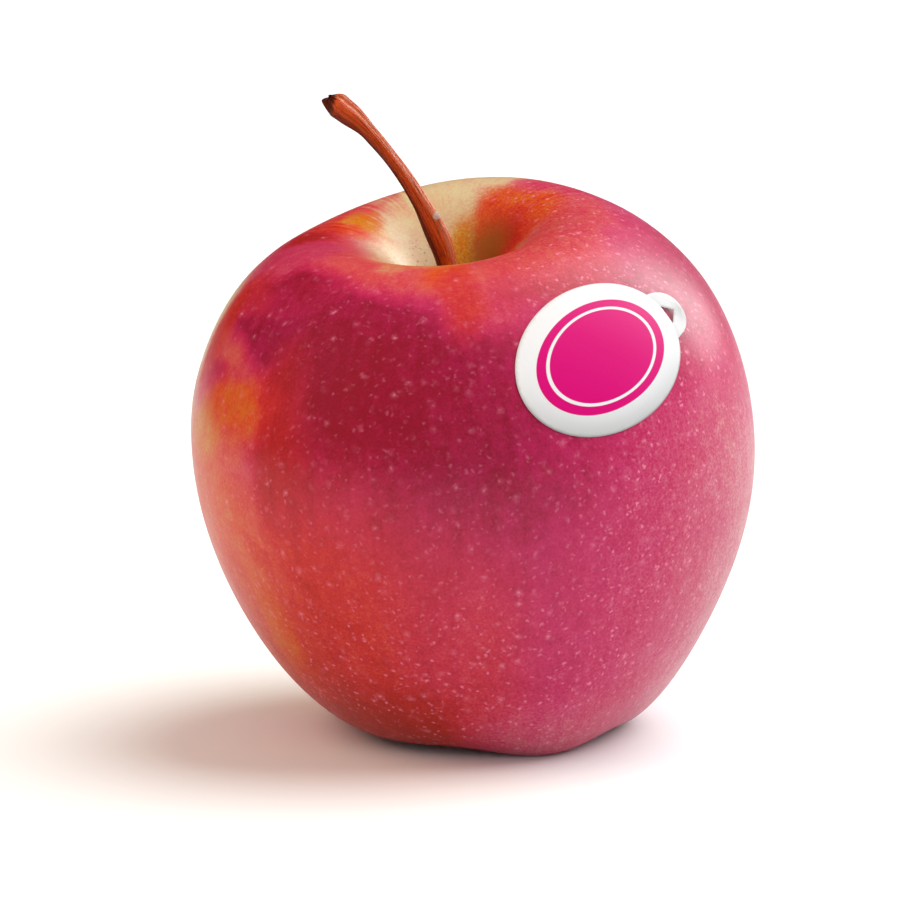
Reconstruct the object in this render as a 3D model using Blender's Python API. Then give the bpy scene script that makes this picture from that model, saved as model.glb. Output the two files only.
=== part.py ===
"""A whole Cripps Pink apple: the fruit, its woody stem, its dried calyx and an oval paper label.

Metres, with +Z up. The fruit stands on the low points of its five-lobed base. The origin lies on
that surface, under the middle of the apple. The front, where the label is, faces -Y.
"""

import math

import bmesh
import bpy
from mathutils import Vector
from mathutils.bvhtree import BVHTree

# Half outline of the fruit, each point as distance from the axis and height.
# A smooth curve is drawn by these points, from the pit of the stem cavity to the calyx pit.
HALF_OUTLINE = (
    (0.0000, 0.0505),  # pit of the stem cavity
    (0.0040, 0.0510),
    (0.0041, 0.0590),  # narrow throat round the stem
    (0.0109, 0.0666),
    (0.0184, 0.0682),  # rim
    (0.0250, 0.0657),
    (0.0324, 0.0589),  # shoulder
    (0.0375, 0.0470),
    (0.0377, 0.0329),  # widest part
    (0.0331, 0.0192),
    (0.0256, 0.0070),
    (0.0170, -0.0004),  # ring of lobes that the fruit stands on
    (0.0123, 0.0036),
    (0.0055, 0.0070),  # wall of the calyx basin
    (0.0000, 0.0085),  # calyx pit
)
STEPS_PER_SPAN = 3
SIDES = 72

# How the fruit departs from a turned shape. Directions are seen from above, in degrees from +X.
RIM_HEIGHT = 0.048  # above this height the fruit leans as the rim does
RIM_BLEND = 0.005
RIM_RADIUS = 0.017
RIM_SLOPE = 0.193  # the rim is higher at the back right than at the front left
RIM_SLOPE_TOWARDS = math.radians(55)
RIM_WAVES = ((2, 0.00052, math.radians(53)), (3, 0.00029, math.radians(-34)))
BELLY_WAVE = (3, 0.027, math.radians(-6))
WAIST_LEAN = (-0.0013, 0.0006, -0.0018)  # sideways shift of the axis: even, middle, ends
FRUIT_HEIGHT = 0.070
LEAN_LIMITS = (-0.1, 1.1)  # shares of that height, past which the lean grows no more
MIDDLE_SHIFT = (-0.0014, -0.0003)  # brings the middle of the whole apple over the origin

# Lobes round the calyx basin, as direction and depth. The shallow one stays clear of the surface.
LOBES = (
    (math.radians(-64), 0.00180),
    (math.radians(10), 0.00165),
    (math.radians(82), 0.00190),
    (math.radians(154), 0.00185),
    (math.radians(226), 0.00040),
)
LOBE_HALF_WIDTH = math.radians(18)
BASE_HEIGHT = 0.009  # the lobes fade out above this height
BASE_BLEND = 0.0035
LOBE_INNER_RADIUS = 0.012
RIB_SWELL = 26  # how far the lobes swell outwards, as a share of the radius for each metre of depth
RIB_HEIGHT = 0.014  # their ribs run up the side and fade out above this height
RIB_BLEND = 0.006

# Stem: the points that its middle passes through, from inside its socket to the rim of its broken end.
STEM_LINE = (
    (-0.0016, 0.0000, 0.0480),
    (-0.0017, 0.0000, 0.0510),
    (-0.0026, 0.0000, 0.0575),
    (-0.0037, 0.0001, 0.0638),
    (-0.0061, 0.0003, 0.0692),
    (-0.0097, 0.0006, 0.0751),
    (-0.0142, 0.0011, 0.0806),
    (-0.0178, 0.0016, 0.0836),
)
STEM_STEPS = 8  # between two of those points
# Stem thickness, each as a share of its length and the radius there.
STEM_RADII = (
    (0.00, 0.00160),
    (0.36, 0.00130),
    (0.46, 0.00142),
    (0.60, 0.00102),
    (0.76, 0.00092),
    (0.86, 0.00102),
    (0.97, 0.00155),
    (1.00, 0.00162),
)
STEM_RINGS = 44
STEM_SIDES = 20
STEM_FLATTEN = 0.90  # width across Y as a share of the width in the plane it curves in
STEM_RIDGES = (5, 0.055, 1.1)  # number round, height as a share of the radius, twist in radians
RIDGE_START = 0.12  # share of the length
RIDGE_BLEND = 0.03
# Rough crown of the broken end, from its rim inwards: share of the rim's radius, height over the
# rim, and how much higher it is on the right.
STEM_CROWN = (
    (1.00, 0.0000, 0.00030),
    (0.82, 0.0007, 0.00000),
    (0.56, 0.0014, -0.00035),
    (0.20, 0.0017, -0.00010),
)
CROWN_NOTCHES = ((3, 0.00014, 2.2), (5, 0.00008, 1.7))  # number round, height, turn in radians
BUD_SCAR_AT = 0.525  # share of the length
BUD_SCAR_HEIGHT = 0.00042
BUD_SCAR_LENGTH = 0.0008
BUD_SCAR_ANGLE = math.radians(-28)
BUD_SCAR_WIDTH = math.radians(30)

# Calyx: a round button in the calyx pit, with five dried sepals and the stubs of the stamens.
CALYX_BUTTON_RADIUS = 0.0026
CALYX_BUTTON_HEIGHT = 0.0016
CALYX_CLEARANCE = 0.0007  # from the pit to the top of the button
BUTTON_SIDES = 20
BUTTON_RINGS = 10
CALYX_ROOT_RADIUS = 0.0014
CALYX_ROOT_LENGTH = 0.0018
ROOT_SIDES = 12
ROD_TAPER = 0.8  # the thin end of the root and of a stamen, as a share of the thick one
SEPALS = 5
# Middle line of a sepal, each point as distance from the button's axis and height over it.
SEPAL_ARC = (
    (0.0016, 0.0000),
    (0.0022, -0.0014),
    (0.0018, -0.0028),
    (0.0021, -0.0038),
    (0.0034, -0.0043),
)
SEPAL_WIDTH = 0.0030
SEPAL_TAPER = 1.6  # power by which it narrows towards its tip
SEPAL_TIP = 0.00022  # half width of the tip
SEPAL_KEEL = 0.00035  # height of the fold along its middle
SEPAL_THICKNESS = 0.0007
SEPAL_STEPS = 7
SEPAL_ARC_STEPS = 3
SEPAL_DRIFT = 0.1  # uneven spacing, as a share of an even space
SEPAL_UNEVEN = 0.12  # uneven length, as a share of it
UNEVEN_RATE = 2.4  # radians from one to the next, in the sine that makes them uneven
STAMENS = 6
STAMEN_RING = 0.0009
STAMEN_SPLAY = 1.25  # distance of their tips from the axis, as a share of their ring
STAMEN_RADIUS = 0.00035
STAMEN_LENGTH = 0.0030
STAMEN_UNEVEN = 0.15
STAMEN_SIDES = 6

# Label: an oval with a round lift tab, laid on the shoulder of the fruit.
LABEL_DIRECTION = math.radians(-57.6)
LABEL_HEIGHT = 0.0551
LABEL_HALF_LENGTH = 0.0133
LABEL_HALF_WIDTH = 0.0097
LABEL_ROLL = math.radians(27)  # its long axis rises to the right
LABEL_THICKNESS = 0.0003
TAB_RADIUS = 0.0034
TAB_CENTRE = 0.0125  # from the middle of the oval
TAB_ANGLE = math.radians(-2)  # from the oval's long axis
TAB_LIFT = 0.0003
LABEL_SPOKES = 72
LABEL_RINGS = 6
WELL_OUTSIDE = 0.1  # from the axis, past any point of the fruit
OVER_SKIN = 0.02  # height over the label from which the skin under it is looked for

SOCKET_GAP = 0.0003  # between two pieces that meet
SOCKET_SIDES = 24
CUTTER_OVERRUN = 0.004


def clear_scene():
    for thing in list(bpy.data.objects):
        bpy.data.objects.remove(thing, do_unlink=True)


def make_material(name, colour, roughness, metallic=0.0):
    material = bpy.data.materials.new(name)
    material.use_nodes = True
    shader = material.node_tree.nodes["Principled BSDF"]
    shader.inputs["Base Color"].default_value = (*colour, 1.0)
    shader.inputs["Roughness"].default_value = roughness
    shader.inputs["Metallic"].default_value = metallic
    return material


def add_object(name, points, faces, material=None):
    """A mesh object whose faces all point out."""
    mesh = bpy.data.meshes.new(name)
    mesh.from_pydata([tuple(point) for point in points], [], faces)
    shape = bmesh.new()
    shape.from_mesh(mesh)
    bmesh.ops.recalc_face_normals(shape, faces=shape.faces)
    shape.to_mesh(mesh)
    shape.free()
    mesh.shade_smooth()
    if material:
        mesh.materials.append(material)
    thing = bpy.data.objects.new(name, mesh)
    bpy.context.collection.objects.link(thing)
    return thing


def joined_rings(rings, sides):
    """Faces of a tube through rings of points that are stored one after another, without its ends."""
    faces = []
    for ring in range(rings - 1):
        here, there = ring * sides, (ring + 1) * sides
        for i in range(sides):
            after = (i + 1) % sides
            faces.append((here + i, here + after, there + after, there + i))
    return faces


def curve_past(a, b, c, d, t):
    """A point of the cubic B-spline that four points pull on."""
    early = (1 - t) ** 3 * a + (3 * t**3 - 6 * t**2 + 4) * b
    late = (-3 * t**3 + 3 * t**2 + 3 * t + 1) * c + t**3 * d
    return (early + late) / 6


def curve_through(a, b, c, d, t):
    """A point of the cubic curve that runs through b and c."""
    return b + (t * (c - a) + t**2 * (2 * a - 5 * b + 4 * c - d) + t**3 * (3 * b - a - 3 * c + d)) / 2


def smooth_curve(points, steps, rule=curve_past):
    """Points along a smooth curve, which starts and ends on the first and the last of the given ones."""
    points = [Vector(point) for point in points]
    padded = [2 * points[0] - points[1], *points, 2 * points[-1] - points[-2]]
    curve = []
    for span in range(len(points) - 1):
        curve += [rule(*padded[span : span + 4], step / steps) for step in range(steps)]
    return [*curve, points[-1]]


def rise(value, middle, blend):
    """0 well below the middle, 1 well above it."""
    return 1 / (1 + math.exp(-(value - middle) / blend))


def lobe_depth(direction):
    depth = 0.0
    for lobe_direction, lobe_size in LOBES:
        away = (direction - lobe_direction + math.pi) % (2 * math.pi) - math.pi
        depth += lobe_size * math.exp(-((away / LOBE_HALF_WIDTH) ** 2) / 2)
    return depth


def fruit_point(radius, height, direction):
    """A point of the turned outline, moved to where the uneven fruit has it."""
    lowest, highest = LEAN_LIMITS
    level = 2 * min(max(height / FRUIT_HEIGHT, lowest), highest) - 1
    middle = max(1 - level**2, 0.0)
    near_rim = rise(height, RIM_HEIGHT, RIM_BLEND)
    near_base = 1 - rise(height, BASE_HEIGHT, BASE_BLEND)

    count, size, towards = BELLY_WAVE
    ribs = RIB_SWELL * lobe_depth(direction) * (1 - rise(height, RIB_HEIGHT, RIB_BLEND))
    reach = radius * (1 + ribs + middle * size * math.cos(count * (direction - towards)))
    x = reach * math.cos(direction)
    y = reach * math.sin(direction)

    z = height + near_rim * RIM_SLOPE * reach * math.cos(direction - RIM_SLOPE_TOWARDS)
    share = radius / RIM_RADIUS
    for count, size, towards in RIM_WAVES:
        fade = 2 * share**count / (1 + share**count)
        z += near_rim * size * fade * math.cos(count * (direction - towards))
    z -= near_base * min(radius / LOBE_INNER_RADIUS, 1.0) ** 3 * lobe_depth(direction)

    even, waist, ends = WAIST_LEAN
    x += even * level + waist * middle + ends * level**3
    return Vector((x + MIDDLE_SHIFT[0], y + MIDDLE_SHIFT[1], max(z, 0.0)))


def make_fruit():
    """The fruit as rings round its outline. What would pass below the surface it stands on is flat."""
    outline = smooth_curve([(radius, 0, height) for radius, height in HALF_OUTLINE], STEPS_PER_SPAN)
    directions = [2 * math.pi * i / SIDES for i in range(SIDES)]
    points = [fruit_point(spot.x, spot.z, direction) for spot in outline[1:-1] for direction in directions]
    rings = len(outline) - 2
    faces = joined_rings(rings, SIDES)
    top, bottom = len(points), len(points) + 1
    points += [fruit_point(0, outline[0].z, 0), fruit_point(0, outline[-1].z, 0)]
    last = (rings - 1) * SIDES
    for i in range(SIDES):
        faces.append((top, (i + 1) % SIDES, i))
        faces.append((bottom, last + i, last + (i + 1) % SIDES))
    return add_object("fruit", points, faces, make_material("skin", (0.62, 0.06, 0.13), 0.34))


def frame_along(line, index):
    """The direction of a line of points at one of them, and two directions across it."""
    along = (line[min(index + 1, len(line) - 1)] - line[max(index - 1, 0)]).normalized()
    side = Vector((0, 1, 0)).cross(along).normalized()
    return along, side, along.cross(side)


def between(pairs, share):
    """A value read off a short list of (share, value) pairs, eased between them."""
    for (start, low), (end, high) in zip(pairs, pairs[1:]):
        if share <= end:
            t = (share - start) / (end - start)
            return low + (high - low) * t * t * (3 - 2 * t)
    return pairs[-1][1]


def even_points(line, count):
    """Points at even distances along a line of points."""
    lengths = [0.0]
    for start, end in zip(line, line[1:]):
        lengths.append(lengths[-1] + (end - start).length)
    points = []
    span = 0
    for i in range(count):
        goal = lengths[-1] * i / (count - 1)
        while span < len(line) - 2 and lengths[span + 1] < goal:
            span += 1
        t = (goal - lengths[span]) / (lengths[span + 1] - lengths[span])
        points.append(line[span].lerp(line[span + 1], t))
    return points


def path_length(line):
    return sum((end - start).length for start, end in zip(line, line[1:]))


def stem_radius(share, angle, length):
    """Thickness of the stem with its long ridges and the small scar of a bud on its right side."""
    count, height, twist = STEM_RIDGES
    ridged = height * rise(share, RIDGE_START, RIDGE_BLEND)
    ridge = 1 + ridged * math.cos(count * angle + twist * share * 2 * math.pi)
    past = length * (share - BUD_SCAR_AT) / BUD_SCAR_LENGTH
    turn = ((angle - BUD_SCAR_ANGLE + math.pi) % (2 * math.pi) - math.pi) / BUD_SCAR_WIDTH
    return between(STEM_RADII, share) * ridge + BUD_SCAR_HEIGHT * math.exp(-(past**2) - turn**2)


def crown_height(crown_ring, angle):
    """How far the broken end stands past its rim, at one point of a ring of its crown."""
    shrink, height, lean = crown_ring
    ragged = sum(size * math.cos(count * angle + turn) for count, size, turn in CROWN_NOTCHES)
    return height + lean * math.cos(angle) + shrink * ragged


def make_stem():
    """A ridged, curved stem that widens to the rough crown where it came off the tree."""
    line = even_points(smooth_curve(STEM_LINE, STEM_STEPS, curve_through), STEM_RINGS)
    length = path_length(line)
    last = STEM_RINGS - 1
    rings = [(i, None) for i in range(last)] + [(last, crown_ring) for crown_ring in STEM_CROWN]
    points = []
    for i, crown_ring in rings:
        along, side, across = frame_along(line, i)
        shrink = crown_ring[0] if crown_ring else 1
        for j in range(STEM_SIDES):
            angle = 2 * math.pi * j / STEM_SIDES
            radius = stem_radius(i / last, angle, length) * shrink
            flat = side * math.cos(angle) + across * STEM_FLATTEN * math.sin(angle)
            past = crown_height(crown_ring, angle) if crown_ring else 0
            points.append(line[i] + flat * radius + along * past)

    faces = joined_rings(len(rings), STEM_SIDES)
    inner = len(points) - STEM_SIDES
    foot, tip = len(points), len(points) + 1
    points += [line[0], line[-1] + frame_along(line, last)[0] * STEM_CROWN[-1][1]]
    for i in range(STEM_SIDES):
        after = (i + 1) % STEM_SIDES
        faces.append((i, foot, after))
        faces.append((inner + i, inner + after, tip))
    return add_object("stem", points, faces, make_material("stem bark", (0.22, 0.055, 0.025), 0.6))


def add_rod(name, start, end, start_radius, end_radius, sides):
    """A straight rod with flat ends, which may taper."""
    along = (end - start).normalized()
    side = along.orthogonal().normalized()
    across = along.cross(side)
    points = []
    for middle, radius in ((start, start_radius), (end, end_radius)):
        for i in range(sides):
            angle = 2 * math.pi * i / sides
            points.append(middle + radius * (side * math.cos(angle) + across * math.sin(angle)))
    faces = joined_rings(2, sides) + [tuple(range(sides)), tuple(range(sides, 2 * sides))]
    return add_object(name, points, faces)


def cut_socket(thing, name, start, end, radius):
    """A round socket in the thing, for a piece of the given radius that stands between two points."""
    cutter = add_rod(name, start, end, radius + SOCKET_GAP, radius + SOCKET_GAP, SOCKET_SIDES)
    cutter.hide_render = True
    cutter.display_type = "WIRE"
    cut = thing.modifiers.new(name, "BOOLEAN")
    cut.operation = "DIFFERENCE"
    cut.solver = "EXACT"
    cut.object = cutter


def uneven(number):
    """A value from -1 to 1 that jumps about from one whole number to the next."""
    return math.sin(UNEVEN_RATE * number)


def add_sepal(name, foot, direction, length_share):
    """One dried sepal: a thin pointed blade that hangs from the button and turns out at its tip."""
    arc = smooth_curve([(out, 0, down * length_share) for out, down in SEPAL_ARC], SEPAL_ARC_STEPS)
    line = even_points(arc, SEPAL_STEPS + 1)
    outward = Vector((math.cos(direction), math.sin(direction), 0))
    across = Vector((-outward.y, outward.x, 0))
    points = []
    for i, spot in enumerate(line):
        share = i / SEPAL_STEPS
        along = line[min(i + 1, SEPAL_STEPS)] - line[max(i - 1, 0)]
        along = (outward * along.x + Vector((0, 0, along.z))).normalized()
        face = across.cross(along)
        half = SEPAL_WIDTH / 2 * (1 - share**SEPAL_TAPER) + SEPAL_TIP
        middle = foot + outward * spot.x + Vector((0, 0, spot.z))
        for side, keel in ((-1, 0.0), (0, SEPAL_KEEL), (1, 0.0)):
            rib = middle + across * side * half + face * keel
            points.append(rib + face * SEPAL_THICKNESS / 2)
            points.append(rib - face * SEPAL_THICKNESS / 2)
    faces = []
    section = (0, 2, 4, 5, 3, 1)
    for i in range(SEPAL_STEPS):
        here, there = 6 * i, 6 * (i + 1)
        for a, b in zip(section, section[1:] + section[:1]):
            faces.append((here + a, here + b, there + b, there + a))
    for end in (0, 6 * SEPAL_STEPS):
        faces.append((end + 0, end + 2, end + 3, end + 1))
        faces.append((end + 2, end + 4, end + 5, end + 3))
    return add_object(name, points, faces)


def make_calyx(pit):
    """The button, its root, the sepals and the stamens, joined into one piece."""
    foot = pit - Vector((0, 0, CALYX_CLEARANCE + CALYX_BUTTON_HEIGHT / 2))
    bpy.ops.mesh.primitive_uv_sphere_add(
        segments=BUTTON_SIDES,
        ring_count=BUTTON_RINGS,
        radius=CALYX_BUTTON_RADIUS,
        location=foot,
    )
    calyx = bpy.context.object
    calyx.name = calyx.data.name = "calyx"
    for vertex in calyx.data.vertices:
        vertex.co.z *= CALYX_BUTTON_HEIGHT / 2 / CALYX_BUTTON_RADIUS
    calyx.data.materials.append(make_material("dried calyx", (0.16, 0.10, 0.06), 0.85))
    calyx.data.shade_smooth()

    pieces = bpy.data.collections.new("calyx pieces")
    bpy.context.scene.collection.children.link(pieces)
    root_end = foot + Vector((0, 0, CALYX_BUTTON_HEIGHT / 2 + CALYX_ROOT_LENGTH))
    root_tip = CALYX_ROOT_RADIUS * ROD_TAPER
    parts = [add_rod("calyx_root", foot, root_end, CALYX_ROOT_RADIUS, root_tip, ROOT_SIDES)]
    for i in range(SEPALS):
        direction = 2 * math.pi * (i + SEPAL_DRIFT * uneven(i)) / SEPALS
        parts.append(add_sepal(f"sepal_{i}", foot, direction, 1 + SEPAL_UNEVEN * uneven(i + 1)))
    for i in range(STAMENS):
        direction = 2 * math.pi * i / STAMENS
        out = Vector((math.cos(direction), math.sin(direction), 0)) * STAMEN_RING
        down = Vector((0, 0, STAMEN_LENGTH * (1 + STAMEN_UNEVEN * uneven(i))))
        tip = foot + out * STAMEN_SPLAY - down
        thin = STAMEN_RADIUS * ROD_TAPER
        parts.append(add_rod(f"stamen_{i}", foot + out, tip, STAMEN_RADIUS, thin, STAMEN_SIDES))
    for part in parts:
        bpy.context.collection.objects.unlink(part)
        pieces.objects.link(part)

    union = calyx.modifiers.new("join", "BOOLEAN")
    union.operation = "UNION"
    union.operand_type = "COLLECTION"
    union.solver = "EXACT"
    union.collection = pieces
    bpy.context.view_layer.objects.active = calyx
    bpy.ops.object.modifier_apply(modifier=union.name)
    for part in parts:
        bpy.data.objects.remove(part, do_unlink=True)
    bpy.data.collections.remove(pieces)
    return calyx


def label_reach(angle):
    """Distance from the middle of the label to its edge, over the oval and the tab."""
    oval = 1 / math.hypot(math.cos(angle) / LABEL_HALF_LENGTH, math.sin(angle) / LABEL_HALF_WIDTH)
    away = angle - TAB_ANGLE
    miss = TAB_CENTRE * math.sin(away)
    tab = 0.0
    if abs(miss) < TAB_RADIUS and math.cos(away) > 0:
        tab = TAB_CENTRE * math.cos(away) + math.sqrt(TAB_RADIUS**2 - miss**2)
    return oval, max(oval, tab)


def make_label(fruit):
    """A thin label that follows the skin a little above it, with its tab slightly lifted."""
    skin = BVHTree.FromObject(fruit, bpy.context.evaluated_depsgraph_get())
    out = Vector((math.cos(LABEL_DIRECTION), math.sin(LABEL_DIRECTION), 0))
    middle, normal, _, _ = skin.ray_cast(Vector((0, 0, LABEL_HEIGHT)) + out * WELL_OUTSIDE, -out)
    level = Vector((0, 0, 1)).cross(normal).normalized()
    up = normal.cross(level)
    long_way = level * math.cos(LABEL_ROLL) + up * math.sin(LABEL_ROLL)
    short_way = normal.cross(long_way)

    def on_skin(flat, lift):
        spot, _, _, _ = skin.ray_cast(middle + flat + normal * OVER_SKIN, -normal)
        return spot + normal * lift

    points = []
    for lift in (SOCKET_GAP, SOCKET_GAP + LABEL_THICKNESS):
        points.append(on_skin(Vector(), lift))
        for ring in range(1, LABEL_RINGS + 1):
            for i in range(LABEL_SPOKES):
                angle = 2 * math.pi * i / LABEL_SPOKES
                oval, edge = label_reach(angle)
                reach = edge * ring / LABEL_RINGS
                raised = TAB_LIFT * min(max((reach - oval) / TAB_RADIUS, 0.0), 1.0)
                flat = (long_way * math.cos(angle) + short_way * math.sin(angle)) * reach
                points.append(on_skin(flat, lift + raised))
    layer = 1 + LABEL_RINGS * LABEL_SPOKES
    faces = []
    for start in (0, layer):
        for a, b, c, d in joined_rings(LABEL_RINGS, LABEL_SPOKES):
            faces.append((start + 1 + a, start + 1 + b, start + 1 + c, start + 1 + d))
        for i in range(LABEL_SPOKES):
            faces.append((start, start + 1 + i, start + 1 + (i + 1) % LABEL_SPOKES))
    edge = layer - LABEL_SPOKES
    for i in range(LABEL_SPOKES):
        after = (i + 1) % LABEL_SPOKES
        faces.append((edge + i, edge + after, layer + edge + after, layer + edge + i))
    return add_object("label", points, faces, make_material("label paper", (0.9, 0.9, 0.9), 0.4))


def main():
    clear_scene()
    fruit = make_fruit()
    make_label(fruit)
    stem_foot = Vector(STEM_LINE[0])
    stem_way = (Vector(STEM_LINE[1]) - stem_foot).normalized()
    cut_socket(
        fruit,
        "stem_socket",
        stem_foot - stem_way * SOCKET_GAP,
        stem_foot + stem_way * CUTTER_OVERRUN,
        STEM_RADII[0][1],
    )
    make_stem()
    pit = fruit_point(0, HALF_OUTLINE[-1][1], 0)
    root_top = pit + Vector((0, 0, CALYX_ROOT_LENGTH))
    cut_socket(fruit, "calyx_socket", root_top, pit - Vector((0, 0, CUTTER_OVERRUN)), CALYX_ROOT_RADIUS)
    make_calyx(pit)


main()
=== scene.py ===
"""Looks of a whole Cripps Pink apple: its skin, its woody stem, its dried calyx and its paper label.

It is laid out as a Blender add-on and run as a script. Metres, with +Z up, unless a name ends in _MM.
A place on the skin is a turn and a way down. The turn is the direction round the fruit in degrees,
0 at the front and rising to the right. The way down is the distance along the skin from the bottom
of the stem cavity, in millimetres.
"""

import math

import bmesh
import bpy
import numpy as np
from bpy.props import FloatProperty, FloatVectorProperty, IntProperty, PointerProperty
from bpy.types import Operator, Panel, PropertyGroup
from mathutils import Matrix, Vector
from mathutils.bvhtree import BVHTree
from mathutils.geometry import delaunay_2d_cdt


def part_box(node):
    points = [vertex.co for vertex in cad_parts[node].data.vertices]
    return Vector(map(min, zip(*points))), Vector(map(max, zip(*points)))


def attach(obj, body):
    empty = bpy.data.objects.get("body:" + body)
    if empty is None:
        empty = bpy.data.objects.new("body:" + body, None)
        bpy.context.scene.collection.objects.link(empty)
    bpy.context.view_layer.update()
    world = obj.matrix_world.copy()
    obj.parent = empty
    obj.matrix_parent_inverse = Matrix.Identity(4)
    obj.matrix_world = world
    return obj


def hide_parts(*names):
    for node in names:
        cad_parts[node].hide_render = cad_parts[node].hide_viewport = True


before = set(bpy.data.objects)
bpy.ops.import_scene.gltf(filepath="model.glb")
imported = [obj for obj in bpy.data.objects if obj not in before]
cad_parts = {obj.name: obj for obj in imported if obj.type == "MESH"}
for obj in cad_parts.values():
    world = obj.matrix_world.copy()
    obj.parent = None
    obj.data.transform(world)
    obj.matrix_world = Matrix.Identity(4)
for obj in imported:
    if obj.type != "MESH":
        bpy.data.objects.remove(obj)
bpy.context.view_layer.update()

bl_info = {
    "name": "Cripps Pink apple",
    "version": (1, 0),
    "blender": (4, 5, 0),
    "location": "3D View > Sidebar > Apple",
    "description": "Builds a whole apple with its stem, dried calyx and paper label",
    "category": "Object",
}

MM = 0.001
FRONT = math.radians(-90)  # the direction that a turn is counted from
HALF_ROUND = 180.0  # half a turn, in degrees

# Half outline of the fruit, each point as distance from the axis and height.
HALF_OUTLINE = (
    (0.0000, 0.0505),  # pit of the stem cavity
    (0.0040, 0.0510),
    (0.0041, 0.0590),  # narrow throat round the stem
    (0.0109, 0.0666),
    (0.0184, 0.0682),  # rim
    (0.0250, 0.0657),
    (0.0324, 0.0589),  # shoulder
    (0.0375, 0.0470),
    (0.0377, 0.0329),  # widest part
    (0.0331, 0.0192),
    (0.0256, 0.0070),
    (0.0170, -0.0004),  # ring of lobes that the fruit stands on
    (0.0123, 0.0036),
    (0.0055, 0.0070),  # wall of the calyx basin
    (0.0000, 0.0085),  # calyx pit
)

# How the fruit departs from a turned shape. Directions are seen from above, from +X.
RIM_HEIGHT = 0.048
RIM_BLEND = 0.005
RIM_RADIUS = 0.017
RIM_SLOPE = 0.193
RIM_SLOPE_TOWARDS = math.radians(55)
RIM_WAVES = ((2, 0.00052, math.radians(53)), (3, 0.00029, math.radians(-34)))
BELLY_WAVE = (3, 0.027, math.radians(-6))
WAIST_LEAN = (-0.0013, 0.0006, -0.0018)
FRUIT_HEIGHT = 0.070
LEAN_LIMITS = (-0.1, 1.1)
MIDDLE_SHIFT = (-0.0014, -0.0003)
LOBES = (
    (math.radians(-64), 0.00180),
    (math.radians(10), 0.00165),
    (math.radians(82), 0.00190),
    (math.radians(154), 0.00185),
    (math.radians(226), 0.00040),
)
LOBE_HALF_WIDTH = math.radians(18)
BASE_HEIGHT = 0.009
BASE_BLEND = 0.0035
LOBE_INNER_RADIUS = 0.012
RIB_SWELL = 26
RIB_HEIGHT = 0.014
RIB_BLEND = 0.006

# Small unevenness of the skin: waves round and down the fruit, and pleats round the calyx.
SWELLS = ((3, 2, 0.4), (5, 3, 2.1), (7, 4, 4.0), (11, 5, 1.3), (17, 9, 5.2))
PLEATS = 15
PLEAT_DEPTH = 0.00022
PLEAT_REACH = 0.006  # how far from the calyx pit they run

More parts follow.
